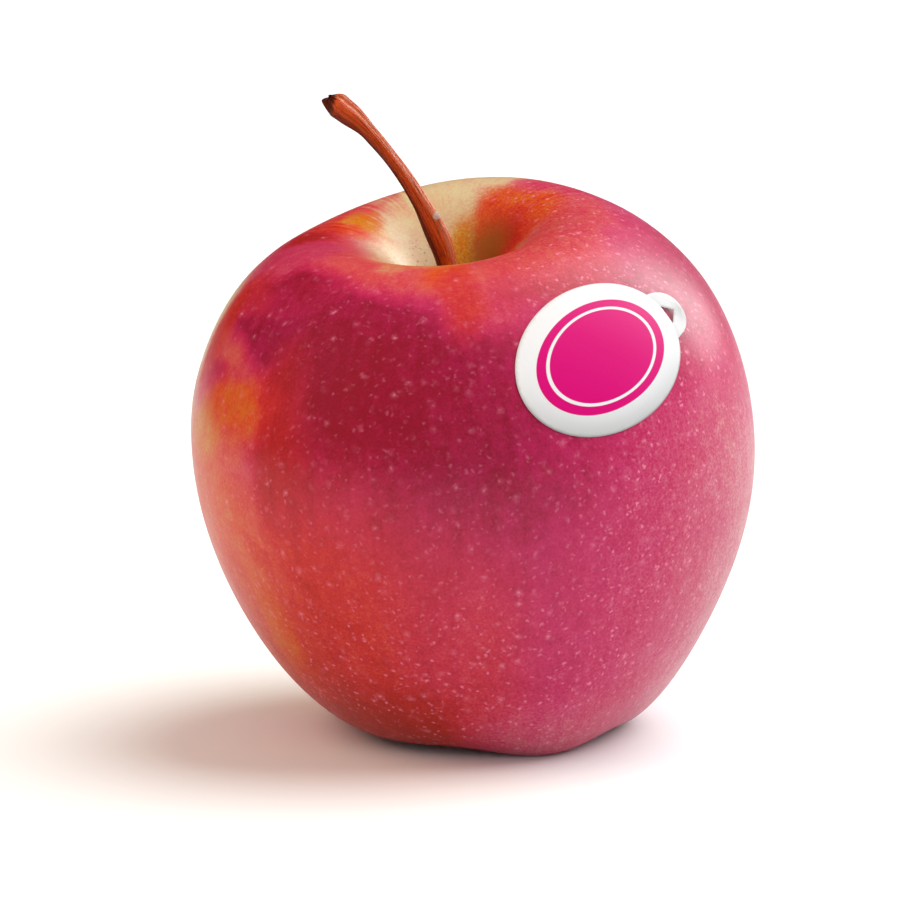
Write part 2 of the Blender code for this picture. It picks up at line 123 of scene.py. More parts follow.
# Marks of colour on the skin, laid one over another. Each is an oval of skin: its turn, its way
# down, how far it reaches each way, the softness of its edge, then how red it is and how much
# yellow lies under the red.
SKIN_BLUSH = 0.60
SKIN_WARMTH = 0.04
PATCHES = (
    (-155, 74, 60, 52, 0.60, 0.20, 0.50),  # pale side, away from the sun
    (-122, 58, 42, 20, 0.70, 0.12, 0.35),  # where it comes round to the left edge
    (-100, 62, 20, 9, 0.60, 0.08, 0.45),
    (-112, 46, 26, 9, 0.70, 0.10, 0.30),
    (82, 84, 22, 40, 0.80, 0.32, 0.00),  # paler right side, partly thinner blush and partly a painted sheen
    (90, 45, 26, 12, 0.60, 0.78, 0.12),  # its shoulder
    (-6, 78, 42, 34, 0.60, 0.78, 0.02),  # full blush of the front
    (-18, 58, 42, 17, 0.50, 0.94, 0.04),  # magenta middle
    (-27, 44, 50, 13, 0.35, 0.94, 0.04),  # crimson above it
    (-22, 49, 18, 10, 0.80, 1.00, 0.22),  # deepest crimson
    (16, 36, 8, 4, 0.60, 0.64, 0.30),
    (58, 43, 26, 9, 0.70, 0.96, 0.04),  # right shoulder under the sheen
    (38, 32, 26, 5, 0.60, 0.86, 0.56),  # red edge of it along the rim
    (-34, 86, 28, 24, 0.60, 0.74, 0.88),  # red left middle
    (-2, 90, 14, 18, 0.70, 0.75, 0.54),
    (-64, 74, 20, 16, 0.50, 0.49, 0.84),  # salmon left side
    (-62, 90, 17, 12, 0.50, 0.66, 1.00),
    (-51, 89, 6, 9, 0.60, 0.47, 1.00),  # orange strip at the lower left
    (-34, 104, 34, 10, 0.50, 0.92, 1.00),  # dark red front of the base
    (24, 106, 26, 9, 0.60, 0.50, 0.12),
    (-40, 57, 7, 12, 0.70, 0.88, 0.80),  # orange red beside the orange patch
    (-66, 35, 9, 5, 0.70, 0.80, 0.60),
    (-76, 44, 8, 8, 0.60, 0.74, 0.90),
    (-90, 45, 8, 7, 0.60, 0.06, 0.30),
    (-66, 59, 11, 5, 0.40, 0.34, 0.92),  # orange patch at the left
    (-54, 53, 11, 6, 0.50, 0.48, 0.95),
    (-63, 46, 8, 2, 0.80, 0.50, 0.60),  # pale line along its top
    (0, 26, 360, 6, 0.50, 0.57, 0.60),  # warm ring round the rim
    (126, 25, 24, 5, 0.60, 0.58, 0.25),
    (84, 29, 26, 3, 0.60, 0.56, 0.45),
    (-50, 33, 16, 4, 0.60, 0.93, 0.20),
    (-78, 28, 16, 5, 0.60, 0.60, 0.22),
    (-88, 28, 26, 5, 0.50, 0.66, 0.26),  # pink left part of the rim
    (0, 26, 10, 5, 0.60, 0.54, 1.00),  # tongue of orange below the front lip
    (4, 33, 7, 6, 0.60, 0.72, 0.84),
    (-26, 24, 6, 3, 0.50, 0.30, 0.60),
    (0, 0, 360, 20, 0.15, 0.20, 0.70),  # cavity
    (-8, 21, 40, 3, 0.50, 0.36, 0.88),  # tan crest of the front lip
    (-142, 16, 36, 8, 0.35, 0.06, 0.25),  # cream left wall of the cavity
    (174, 24, 36, 9, 0.30, 0.05, 0.32),  # tan that runs over the back of the rim
    (-122, 24.5, 9, 4, 0.60, 0.66, 1.00),  # red and orange left part of its edge
    (-134, 23.5, 8, 4, 0.60, 0.34, 1.00),
    (-106, 27, 12, 4, 0.60, 0.90, 0.90),
    (124, 19, 32, 8, 0.30, 0.56, 1.00),  # orange right wall
    (116, 16, 24, 4, 0.60, 0.80, 1.00),
    (134, 29, 14, 4, 0.60, 0.62, 0.30),  # pink crest of the back rim
    (163, 15, 12, 4, 0.60, 0.26, 1.00),
    (168, 9, 24, 5, 0.60, 0.24, 1.00),  # olive depth behind the stem
    (0, 128, 360, 13, 0.50, 0.24, 0.90),  # calyx basin
)
CAVITY_BROWN_AND_SHADE = (136, 13, 26, 6)  # brown depth of the cavity, partly brown skin and partly painted shade: turn, way down and reach each way
CAVITY_BROWN_AND_SHADE_COLOUR = (0.24, 0.082, 0.003)
CAVITY_BROWN_AND_SHADE_STRENGTH = 0.8
RUSSET = (-150, 14.5, 14, 5)  # densest russet, on the left wall of the cavity, given the same way
RUSSET_COLOUR = (0.16, 0.12, 0.08)
RUSSET_STRENGTH = 0.65
RUSSET_CELL = 0.00060  # size of the cells that its dots lie in
RUSSET_CLOUD = 0.004  # and of the clouds that they gather in

# Soft edges: where a mark starts, and where it is full. First on the way down in millimetres, in the
# turn, in how far a place lies to the front from -1 to 1, and in the blush from 0 to 1.
BODY_MM = (17.0, 26.0)  # marks of the skin outside the cavity
LOW_MM = (70.0, 100.0)  # close-set dots towards the base
DEEP_MM = (20.0, 14.0)  # russet in the cavity
RIGHT_TURN = (14.0, 40.0)  # close-set dots on the right
BACK_FRONT = (0.3, -0.5)  # ragged and streaky patches of the back
TINT_BLUSH = (0.0, 0.5)  # pink in the colour of the dots
# As shares of an oval's reach, and of a dot's cell.
CAVITY_BROWN_AND_SHADE_EDGE = (1.5, 0.4)
RUSSET_EDGE = (1.4, 0.6)
RUSSET_DOT = (0.36, 0.14)
HALO = (0.38, 0.02)
CORE = (0.15, 0.03)
FINE_HALO = (0.40, 0.05)
FINE_CORE = (0.32, 0.06)
# In a cloud from -1 to 1.
RUSSET_PATCH = (-0.1, 0.3)

# Clouds in the colour of the skin: the size of their spots.
WIDE_CLOUD = 0.014
MOTTLE_CLOUD = 0.0045
BLOTCH_CLOUD = 0.0016
DOT_CLOUD = 0.0006
GRAIN_CLOUD = 0.00035
STREAK_MM = (1.3, 1.3, 14.0)  # across the streaks, and along them down the skin

# How much each cloud changes the blush and the warmth. The second number is added on the back or
# where the dots are close-set.
STREAK_BLUSH = (0.10, 0.16)
GRAIN_BLUSH = (0.16, 0.12)
MOTTLE_BLUSH = 0.12
BLOTCH_BLUSH = 0.13
CALM_SHARE = 0.4  # share of it that is left where the blush is thin or heavy
WIDE_WARMTH = 0.10
MOTTLE_WARMTH = 0.12

# How far the clouds bend the edges of the patches: round the fruit in degrees, and down it in mm.
WIDE_BEND = 7
MOTTLE_BEND = 3
BACK_BEND = 1.6  # this much more on the back
BACK_STREAK_BEND = 10
CAVITY_BROWN_AND_SHADE_BEND = 6
WIDE_BEND_MM = 3
CAVITY_BEND = 0.3  # this much of it in the cavity, and 1 more outside

# Lenticels: how far clouds bend them, the size and strength of the finer ones, and what shows of them.
DOT_BENDS = ((BLOTCH_CLOUD, 0.0010), (DOT_CLOUD, 0.0007))
FINE_SIZE = 0.5
FAINT_DOT = 0.1  # strength of the faintest one
SPARSE_DOTS = 0.7  # strength where they aren't close-set
SPARSE_FINE_DOTS = 0.25
HALO_STRENGTH = 0.32
CORE_STRENGTH = 0.55

# What the mottle, the grain and the dots add to the roughness, and what stands out of the surface.
SKIN_ROUGHNESS = (0.05, 0.06, 0.10)
SKIN_RELIEF = 0.00003

SEED_WAY = (1.0, 2.7, 1.3)  # direction in which a seed moves the clouds

# Stem: the points that its middle passes through, from inside its socket to the rim of its broken end.
STEM_LINE = (
    (-0.0016, 0.0000, 0.0480),
    (-0.0017, 0.0000, 0.0510),
    (-0.0026, 0.0000, 0.0575),
    (-0.0037, 0.0001, 0.0638),
    (-0.0061, 0.0003, 0.0692),
    (-0.0097, 0.0006, 0.0751),
    (-0.0142, 0.0011, 0.0806),
    (-0.0178, 0.0016, 0.0836),
)
STEM_STEPS = 16
STEM_RADII = (
    (0.00, 0.00160),
    (0.36, 0.00130),
    (0.46, 0.00142),
    (0.60, 0.00102),
    (0.76, 0.00092),
    (0.86, 0.00102),
    (0.97, 0.00155),
    (1.00, 0.00162),
)
STEM_FLATTEN = 0.90
# Number round, height as a share of the radius, and twist in radians. The first set is the part's own.
STEM_RIDGES = ((5, 0.055, 1.1), (8, 0.050, -0.6), (13, 0.040, 0.9), (21, 0.025, -1.2))
RIDGE_START = 0.12
RIDGE_BLEND = 0.03
# Rough crown of the broken end, from its rim inwards: share of the rim's radius, height over the
# rim, and how much higher it is on the right.
STEM_CROWN = (
    (1.00, 0.0000, 0.00030),
    (0.82, 0.0007, 0.00000),
    (0.56, 0.0014, -0.00035),
    (0.20, 0.0017, -0.00010),
)
CROWN_NOTCHES = ((3, 0.00014, 2.2), (5, 0.00008, 1.7))
CROWN_STEPS = 5
CROWN_START = 0.96  # share of the length from which the stem's end leans into the crown
CROWN_FIBRE = 0.00016  # height of the torn fibres half way in
FIBRE_SEED = 8
BUD_SCAR_AT = 0.525
BUD_SCAR_HEIGHT = 0.00042
BUD_SCAR_LENGTH = 0.0008
BUD_SCAR_ANGLE = math.radians(-28)
BUD_SCAR_WIDTH = math.radians(30)

# Finish of the bark. Sizes and places are given across it, as shares of its radius, and in mm along it.
BARK_RIDGE = (0.14, 0.14, 6.0)
BARK_WRINKLE = (0.07, 0.07, 1.1)
BARK_FLECK = (0.22, 0.22, 0.5)
SCAR_SIZE = 0.62
SCAR_HOLE = (0.12, 0.20, 0.15)  # from the middle of the scar
# How much lighter the three make it, and the flecks besides on its foot.
BARK_LIGHT = (0.20, 0.14, 0.05, 0.12)
# Soft edges: where a mark starts, and where it is full.
FOOT_SHARE = (0.46, 0.36)  # as shares of the length
GROOVE_EDGE = (0.05, 0.40)
SPECKLE_EDGE = (0.15, 0.5)
SPECKLE_SIDE = (-0.4, 0.6)  # from the left to the right of the stem
TORN_EDGE = (-0.2, 0.5)
SCAR_EDGE = (1.1, 0.7)
SCAR_HOLE_EDGE = (0.22, 0.14)
BROKEN_MM = (0.3, 1.1)  # past the stem's length
GROOVE_STRENGTH = 0.8
SPECKLE_STRENGTH = 0.6
BARK_ROUGHNESS = 0.36
BARK_GLOSS = 1.3
BARK_RELIEF = 0.00028

# Calyx: a button with five dried sepals and the remains of the stamens.
CALYX_BUTTON_RADIUS = 0.0026
CALYX_BUTTON_HEIGHT = 0.0016
BUTTON_RINGS = 9
BUTTON_SIDES = 40
BUTTON_WAVE = (5, 0.06)  # number round, and height as a share of the radius
CALYX_GAP = 0.0007  # from the pit to the top of the button
SEPALS = 5
SEPAL_DRIFT = 0.1
SEPAL_UNEVEN = 0.12
UNEVEN_RATE = 2.4
CALYX_SEED = 5
SEPAL_ARC = ((0.0016, 0.0000), (0.0022, -0.0014), (0.0018, -0.0028), (0.0021, -0.0038), (0.0034, -0.0043))
SEPAL_ARC_STEPS = 8
SEPAL_WIDTH = 0.0032
SEPAL_THICKNESS = 0.00022
SEPAL_GRID = (26, 10)  # faces along it and across it
SEPAL_TAPER = 1.6
SEPAL_TIP = 0.00012  # half its width at the tip
SEPAL_CUP = 0.35  # how far its edges turn in, as a share of half its width
SEPAL_NOTCHES = (19, 0.10)  # how fast they come along its edge, and depth as a share of half its width
SEPAL_CREASES = (3 * math.pi, 0.12)  # the same across it
SEPAL_WAVES = (9, 5, 0.00010)  # how fast they come along it and across it, and height
STAMEN_LENGTH = 0.0030
STAMEN_LENGTHS = (0.7, 1.1)  # from the shortest to the longest, as shares of it
STAMEN_RADIUS = 0.00016
STAMEN_SIDES = 7
STAMEN_STEPS = 4
STAMEN_DRIFT = 0.3
STAMEN_BEND = 0.0005
# The middle of a stamen: distance from the calyx's middle, share of its length, and share of its bend.
STAMEN_LINE = ((0.0010, 0.0, 0.0), (0.0013, 0.4, 0.4), (0.0009, 0.75, 1.0), (0.0007, 1.0, 1.3))
ANTHER = (1.9, 2.1, 0.8)  # its radii, as shares of the stamen's
HAIR_RADIUS = 0.000035
HAIR_TAPER = (1.0, 0.8, 0.3)
HAIR_SIDES = 3
HAIR_LENGTHS = (0.0004, 0.0010)
HAIR_ROOT = 0.00005  # how deep its root is sunk
HAIR_SPREAD = 0.6
HAIR_CURL = 0.25
DRY_CLOUD = 0.0008
DRY_FINE_CLOUD = 0.0002
DRY_DARK = 0.35  # darkest brown, as a share of the dry brown
DOWN_COLOUR = (0.34, 0.28, 0.19)
DOWN_STRENGTH = 0.5
DRY_ROUGHNESS = 0.85
DRY_RELIEF = 0.00006

# Label: an oval with a round lift tab, laid on the shoulder of the fruit.
LABEL_DIRECTION = math.radians(-57.6)
LABEL_HEIGHT = 0.0551
LABEL_HALF_LENGTH = 0.0133
LABEL_HALF_WIDTH = 0.0097
LABEL_ROLL = math.radians(27)
LABEL_THICKNESS = 0.00010
LABEL_GLUE = 0.00011  # height of its underside over the skin
TAB_RADIUS = 0.0034
TAB_CENTRE = 0.0125
TAB_ANGLE = math.radians(-2)
TAB_LIFT = 0.0011
TAB_HOLE = ((0.0132, 0.0008), (0.0146, -0.0006), (0.0130, -0.0020))  # in the label's own plane
LABEL_STEP = 0.0005  # between the points of its mesh
LABEL_SPOKES = 240  # points round its edge
HOLE_STEPS = 4  # points on each side of the hole
RIM_GAP = 0.0003  # least distance of the other points from the edge and from the hole
HOLE_GAP = 0.00025
MERGE_GAP = 1e-9
AIM_FROM = 0.1  # how far out of the apple's axis the label's place is aimed at from
DROP_FROM = 0.02  # how far over the label its points are dropped on the skin from
PRINT_EDGE = 0.005  # softness of the print's edges, as a share of its size
RING_OUTER = 0.86  # the white ring in the print, as shares of its size
RING_INNER = 0.81
SHADE_SLANT = 0.45  # how far the painted shade on the lower edge slants to the right
# Soft edges: where a mark starts, and where it is full. First as shares of the label's size.
# Painted shade over the lower part of the label, growing towards its edge.
SHADE_BELOW = (0.20, -1.10)
SHADE_EDGE = (0.55, 1.05)
# Painted shadow along the label's cut edge: a thin band over it.
EDGE_SHADOW_INSIDE = (0.975, 1.0)
EDGE_SHADOW_OUTSIDE = (1.04, 1.0)
# Painted shade on the lower right of the curled tab: where it starts and is full along the label and down it.
CURL_SHADE_ALONG = (0.0138, 0.0160)  # in the label's own plane
CURL_SHADE_DOWN = (0.0012, -0.0016)
EDGE_SHADOW_LEAST = 0.25  # strength of the painted shadow along the edge at the top
CURL_SHADE_STRENGTH = 0.7
EDGE_AND_CURL_SHADE = 0.45  # colour of the painted shadow along the edge and of the painted shade on the curled tab, as a share of the paper's
PAPER_GRAIN = 0.0004
PAPER_ROUGHNESS = 0.48
PAPER_GLOSS = 1.22
PAPER_RELIEF = 0.000006

# Camera: where it looks from, and where the middle of the apple lies in the picture.
PICTURE_WIDTH = 900
LOOK_AT = (0, 0, 0.036)
CAMERA_RISE = math.radians(11)
CAMERA_DISTANCE = 0.75
CAMERA_NEAREST = 0.05
PIXELS_PER_METRE = 7500
APPLE_PIXEL = (473.36, 461.92)
SENSOR_WIDTH = 36

# Key light: direction and height it comes from, width of the patch of sky it fills, and strength.
KEY_DIRECTION = math.radians(18)
KEY_RISE = math.radians(54)
KEY_SPREAD = math.radians(64)
KEY_STRENGTH = 3.42

# Soft lights: name, direction and height they come from in degrees, distance, width, height, power
# in watts, colour and whether the skin mirrors them.
SOFTBOXES = (
    ("back_glow", 38, 30, 0.70, 0.30, 0.44, 4.8, (1.0, 1.0, 1.0), True),
    ("top_glow", 42, 58, 0.70, 0.36, 0.34, 2.2, (1.0, 1.0, 1.0), True),
    ("front_fill", -75, 24, 1.10, 0.90, 0.60, 2.0, (1.0, 0.99, 0.98), False),
    ("warm_fill", 192, 40, 0.60, 0.40, 0.40, 1.6, (1.0, 0.60, 0.40), False),
)
FLOOR_HALF_SIZE = 6.0
FLOOR_DROP = 0.00005
FLOOR_CLOUD = 0.08
FLOOR_SHADE = 0.985  # darkest part of the floor, as a share of its colour
FLOOR_ROUGHNESS = 0.9


class SkinSettings(PropertyGroup):
    sides: IntProperty(name="Sides", description="Faces round the fruit", default=330, min=60)
    steps: IntProperty(name="Steps", description="Faces down each span of its outline", default=16, min=3)
    unevenness: FloatProperty(
        name="Unevenness", description="Height of the small swells", default=0.00012, unit="LENGTH"
    )
    roughness: FloatProperty(
        name="Roughness", description="Dullness of the waxy skin", default=0.38, subtype="FACTOR"
    )
    gloss: FloatProperty(name="Gloss", description="How much the wax bends light", default=1.31, min=1.0)
    dot_spacing: FloatProperty(
        name="Dot spacing", description="Size of the lenticels' cells", default=0.0020, unit="LENGTH"
    )
    dot: FloatVectorProperty(
        name="Lenticel", description="Pale dots on the blush", default=(0.80, 0.26, 0.38), subtype="COLOR"
    )
    cream: FloatVectorProperty(
        name="Cream", description="Bare skin with little yellow", default=(0.56, 0.49, 0.33), subtype="COLOR"
    )
    pale_pink: FloatVectorProperty(
        name="Pale pink", description="Thin blush", default=(0.56, 0.225, 0.235), subtype="COLOR"
    )
    pink: FloatVectorProperty(
        name="Pink", description="Middling blush", default=(0.505, 0.080, 0.155), subtype="COLOR"
    )
    rose: FloatVectorProperty(
        name="Rose", description="Full blush", default=(0.47, 0.025, 0.108), subtype="COLOR"
    )
    magenta: FloatVectorProperty(
        name="Magenta", description="Heavy blush", default=(0.39, 0.012, 0.076), subtype="COLOR"
    )
    crimson: FloatVectorProperty(
        name="Crimson", description="Heaviest blush", default=(0.235, 0.0045, 0.026), subtype="COLOR"
    )
    yellow: FloatVectorProperty(
        name="Yellow", description="Bare skin with much yellow", default=(0.56, 0.41, 0.06), subtype="COLOR"
    )
    orange: FloatVectorProperty(
        name="Orange", description="Thin blush over yellow", default=(0.50, 0.17, 0.004), subtype="COLOR"
    )
    flame: FloatVectorProperty(
        name="Flame", description="Middling blush over yellow", default=(0.56, 0.066, 0.006), subtype="COLOR"
    )
    red: FloatVectorProperty(
        name="Red", description="Full blush over yellow", default=(0.485, 0.020, 0.008), subtype="COLOR"
    )
    dark_red: FloatVectorProperty(
        name="Dark red", description="Heavy blush over yellow", default=(0.31, 0.008, 0.004), subtype="COLOR"
    )


class StemSettings(PropertyGroup):
    rings: IntProperty(name="Rings", description="Rings of points along the stem", default=170, min=20)
    sides: IntProperty(name="Sides", description="Faces round the stem", default=64, min=12)
    # Painted shade: the colour of the bark on its left side.
    shaded: FloatVectorProperty(
        name="Shaded bark", description="Bark on the left", default=(0.150, 0.015, 0.001), subtype="COLOR"
    )
    bark: FloatVectorProperty(
        name="Bark", description="Bark at its middle", default=(0.60, 0.072, 0.008), subtype="COLOR"
    )
    # Paler bark with a painted highlight: the colour of the bark on its right side.
    bleached_and_lit: FloatVectorProperty(
        name="Bleached bark", description="Bark on the right", default=(0.66, 0.20, 0.10), subtype="COLOR"
    )
    groove: FloatVectorProperty(
        name="Groove", description="Bark in the grooves", default=(0.070, 0.008, 0.001), subtype="COLOR"
    )
    scar: FloatVectorProperty(
        name="Bud scar", description="Cork on the scar of a bud", default=(0.62, 0.46, 0.38), subtype="COLOR"
    )


class CalyxSettings(PropertyGroup):
    stamens: IntProperty(name="Stamens", description="Dried stamens left", default=14, min=0)
    hairs: IntProperty(name="Hairs", description="Hairs on each sepal", default=110, min=0)
    dry: FloatVectorProperty(
        name="Dry brown", description="Dried sepals", default=(0.17, 0.095, 0.045), subtype="COLOR"
    )


class LabelSettings(PropertyGroup):
    paper: FloatVectorProperty(
        name="Paper", description="Colour of the paper", default=(0.71, 0.715, 0.72), subtype="COLOR"
    )
    # Brightness of the painted shade on the label's lower edge.
    painted_shade: FloatProperty(
        name="Shade", description="Brightness of its grey lower edge", default=0.64, subtype="FACTOR"
    )
    print_colour: FloatVectorProperty(
        name="Print", description="Colour of the printed oval", default=(0.57, 0.0, 0.150), subtype="COLOR"
    )
    margin: FloatProperty(
        name="Margin", description="White edge round the print", default=0.0027, unit="LENGTH"
    )


class StageSettings(PropertyGroup):
    exposure: FloatProperty(name="Exposure", description="Brightness of the picture", default=0.0)
    sky: FloatProperty(name="Sky", description="Strength of the even light", default=0.36, min=0)
    floor: FloatVectorProperty(
        name="Floor", description="Colour of the floor", default=(0.90, 0.96, 0.95), subtype="COLOR"
    )


class Wire:
    """An output socket of a material. Its operators add Math nodes."""

    def __init__(self, finish, socket):
        self.finish = finish
        self.socket = socket

    def __add__(self, other):
        return self.finish.maths("ADD", self, other)

    def __radd__(self, other):
        return self.finish.maths("ADD", other, self)

    def __sub__(self, other):
        return self.finish.maths("SUBTRACT", self, other)

    def __rsub__(self, other):
        return self.finish.maths("SUBTRACT", other, self)

    def __mul__(self, other):
        return self.finish.maths("MULTIPLY", self, other)

    def __rmul__(self, other):
        return self.finish.maths("MULTIPLY", other, self)

    def __truediv__(self, other):
        return self.finish.maths("DIVIDE", self, other)

    def __pow__(self, other):
        return self.finish.maths("POWER", self, other)


class Finish:
    """A material in the making. Each method adds nodes and returns what comes out of them."""

    def __init__(self, name):
        self.material = bpy.data.materials.new(name)
        self.material.use_nodes = True
        self.tree = self.material.node_tree
        self.shader = self.tree.nodes["Principled BSDF"]

    def plug(self, socket, value):
        """Links a wire, or sets a constant. One number stands for all three of a vector."""
        if isinstance(value, Wire):
            self.tree.links.new(value.socket, socket)
        elif socket.type == "RGBA":
            socket.default_value = (*value[:3], 1.0)
        elif socket.type == "VECTOR" and isinstance(value, float):
            socket.default_value = (value, value, value)
        else:
            socket.default_value = value

    def add(self, kind, settings, values, output=0):
        """Any node: its type, its settings, then the values or links of its sockets."""
        node = self.tree.nodes.new(kind)
        for name, value in settings.items():
            if name == "stops":
                self.set_stops(node.color_ramp.elements, value)
            else:
                setattr(node, name, value)
        for name, value in values.items():
            self.plug(node.inputs[name], value)
        return Wire(self, node.outputs[output])

    @staticmethod
    def set_stops(elements, stops):
        while len(elements) < len(stops):
            elements.new(1.0)
        for element, (position, colour) in zip(elements, stops):
            element.position = position
            element.color = (*colour, 1.0)

    def maths(self, operation, *values):
        return self.add("ShaderNodeMath", {"operation": operation}, dict(enumerate(values)))

    def vector(self, operation, a, b):
        return self.add("ShaderNodeVectorMath", {"operation": operation}, {0: a, 1: b})

    def parts(self, vector):
        """The three numbers of a vector."""
        node = self.add("ShaderNodeSeparateXYZ", {}, {0: vector}).socket.node
        return [Wire(self, socket) for socket in node.outputs]

    def mix(self, mask, a, b):
        """Colour a where the mask is 0 and colour b where it is 1."""
        return self.add("ShaderNodeMix", {"data_type": "RGBA"}, {0: mask, 6: a, 7: b}, 2)

    def step(self, value, low, high):
        """0 below low, 1 above high and smooth between them. Low may be the larger, which turns it round."""
        return self.add(
            "ShaderNodeMapRange",
            {"interpolation_type": "SMOOTHSTEP"},
            {"Value": value, "From Min": low, "From Max": high},
        )

    def noise(self, place, size, seed, detail=2.0):
        """Cloudy noise about 0, between -1 and 1. Size is how far apart its spots are."""
        shift = tuple(seed * part for part in SEED_WAY)
        moved = self.vector("DIVIDE", self.vector("ADD", place, shift), size)
        cloud = self.add("ShaderNodeTexNoise", {}, {"Vector": moved, "Scale": 1.0, "Detail": detail})
        return (cloud - 0.5) * 2.0

    def cells(self, place, size, output):
        """Scattered cells: the distance to the middle of the nearest one, or its own random colour."""
        spread = self.vector("DIVIDE", place, size)
        return self.add("ShaderNodeTexVoronoi", {}, {"Vector": spread, "Scale": 1.0}, output)

    def length(self, vector):
        return self.add("ShaderNodeVectorMath", {"operation": "LENGTH"}, {0: vector}, "Value")

    def ramp(self, value, stops):
        return self.add("ShaderNodeValToRGB", {"stops": stops}, {0: value})

    def attribute(self, name):
        return self.add("ShaderNodeAttribute", {"attribute_name": name}, {}, "Vector")

    def place(self):
        return self.add("ShaderNodeTexCoord", {}, {}, "Object")

    def set(self, **values):
        """Sockets of the surface shader, by name with _ for a space."""
        for name, value in values.items():
            self.plug(self.shader.inputs[name.replace("_", " ")], value)

    def relief(self, height, distance):
        """Raises the surface by a height from 0 to 1, where 1 stands out by the distance."""
        bump = self.add("ShaderNodeBump", {}, {"Height": height, "Distance": distance, "Strength": 1.0})
        self.set(Normal=bump)


# Shapes


def rise(value, middle, blend):
    """0 well below the middle, 1 well above it."""
    return 1 / (1 + np.exp(-(value - middle) / blend))


def curve_past(a, b, c, d, t):
    """A point of the cubic B-spline that four points pull on."""
    early = (1 - t) ** 3 * a + (3 * t**3 - 6 * t**2 + 4) * b
    late = (-3 * t**3 + 3 * t**2 + 3 * t + 1) * c + t**3 * d
    return (early + late) / 6


def curve_through(a, b, c, d, t):
    """A point of the cubic curve that runs through b and c."""
    return b + (t * (c - a) + t**2 * (2 * a - 5 * b + 4 * c - d) + t**3 * (3 * b - a - 3 * c + d)) / 2


def smooth_curve(points, steps, rule=curve_past):
    """Points along a smooth curve, which starts and ends on the first and the last of the given ones."""
    points = np.array(points, float)
    padded = np.vstack((2 * points[0] - points[1], points, 2 * points[-1] - points[-2]))
    curve = []
    for span in range(len(points) - 1):
        curve += [rule(*padded[span : span + 4], step / steps) for step in range(steps)]
    return np.array([*curve, points[-1]])


def lengths_along(line):
    """The distance from the start of a line of points to each of them."""
    return np.concatenate(([0.0], np.cumsum(np.linalg.norm(np.diff(line, axis=0), axis=1))))


def even_points(line, count):
    """Points at even distances along a line of points."""
    lengths = lengths_along(line)
    goals = np.linspace(0, lengths[-1], count)
    return np.stack([np.interp(goals, lengths, line[:, axis]) for axis in range(line.shape[1])], axis=1)


def between(pairs, share):
    """A value read off a short list of (share, value) pairs, eased between them."""
    for (start, low), (end, high) in zip(pairs, pairs[1:]):
        if share <= end:
            t = (share - start) / (end - start)
            return low + (high - low) * t * t * (3 - 2 * t)
    return pairs[-1][1]


def across(line, index):
    """The direction of a line of points at one of them, and two directions across it."""
    along = line[min(index + 1, len(line) - 1)] - line[max(index - 1, 0)]
    along = along / np.linalg.norm(along)
    side = np.cross((0, 1, 0), along)
    side = side / np.linalg.norm(side)
    return along, side, np.cross(along, side)


def ring_faces(rings, sides):
    """Faces of a tube through rings of points that are stored one after another, without its ends."""
    faces = []
    for ring in range(rings - 1):
        here = ring * sides
        for i in range(sides):
            after = (i + 1) % sides
            faces.append((here + i, here + after, here + sides + after, here + sides + i))
    return faces


def closed_tube(rings, sides):
    """Faces of such a tube, and one face over each end."""
    first_end = tuple(range(sides))
    last_end = tuple(range((rings - 1) * sides, rings * sides))
    return [*ring_faces(rings, sides), first_end, last_end]


def fan_faces(middle, first, sides):
    """Faces from a point to a ring of points, given the number of the point and of the ring's first one."""
    return [(middle, first + i, first + (i + 1) % sides) for i in range(sides)]


def add_piece(name, points, faces, node=None, places=None):
    """A piece of the apple. Places holds a vector for each point, kept in attributes of the given names."""
    mesh = bpy.data.meshes.new(name)
    mesh.from_pydata([tuple(point) for point in points], [], faces)
    for attribute_name, values in (places or {}).items():
        attribute = mesh.attributes.new(attribute_name, "FLOAT_VECTOR", "POINT")
        attribute.data.foreach_set("vector", np.asarray(values, np.float32).ravel())
    shape = bmesh.new()
    shape.from_mesh(mesh)
    bmesh.ops.recalc_face_normals(shape, faces=shape.faces)
    shape.to_mesh(mesh)
    shape.free()
    mesh.shade_smooth()
    piece = bpy.data.objects.new(name, mesh)
    bpy.context.scene.collection.objects.link(piece)
    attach(piece, "root")
    if node:
        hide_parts(node)
    return piece


def lobe_depth(direction):
    depth = np.zeros_like(direction)
    for lobe_direction, lobe_size in LOBES:
        away = (direction - lobe_direction + math.pi) % (2 * math.pi) - math.pi
        depth += lobe_size * np.exp(-((away / LOBE_HALF_WIDTH) ** 2) / 2)
    return depth


def fruit_points(radius, height, direction):
    """Points of the turned outline, moved to where the uneven fruit has them."""
    level = 2 * np.clip(height / FRUIT_HEIGHT, *LEAN_LIMITS) - 1
    middle = np.maximum(1 - level**2, 0)
    near_rim = rise(height, RIM_HEIGHT, RIM_BLEND)
    near_base = 1 - rise(height, BASE_HEIGHT, BASE_BLEND)
    depth = lobe_depth(direction)

    count, size, towards = BELLY_WAVE
    ribs = RIB_SWELL * depth * (1 - rise(height, RIB_HEIGHT, RIB_BLEND))
    reach = radius * (1 + ribs + middle * size * np.cos(count * (direction - towards)))
    x = reach * np.cos(direction)
    y = reach * np.sin(direction)

    z = height + near_rim * RIM_SLOPE * reach * np.cos(direction - RIM_SLOPE_TOWARDS)
    share = radius / RIM_RADIUS
    for count, size, towards in RIM_WAVES:
        fade = 2 * share**count / (1 + share**count)
        z = z + near_rim * size * fade * np.cos(count * (direction - towards))
    z = z - near_base * np.minimum(radius / LOBE_INNER_RADIUS, 1) ** 3 * depth

    even, waist, ends = WAIST_LEAN
    x = x + even * level + waist * middle + ends * level**3
    return np.stack((x + MIDDLE_SHIFT[0], y + MIDDLE_SHIFT[1], z), axis=-1)


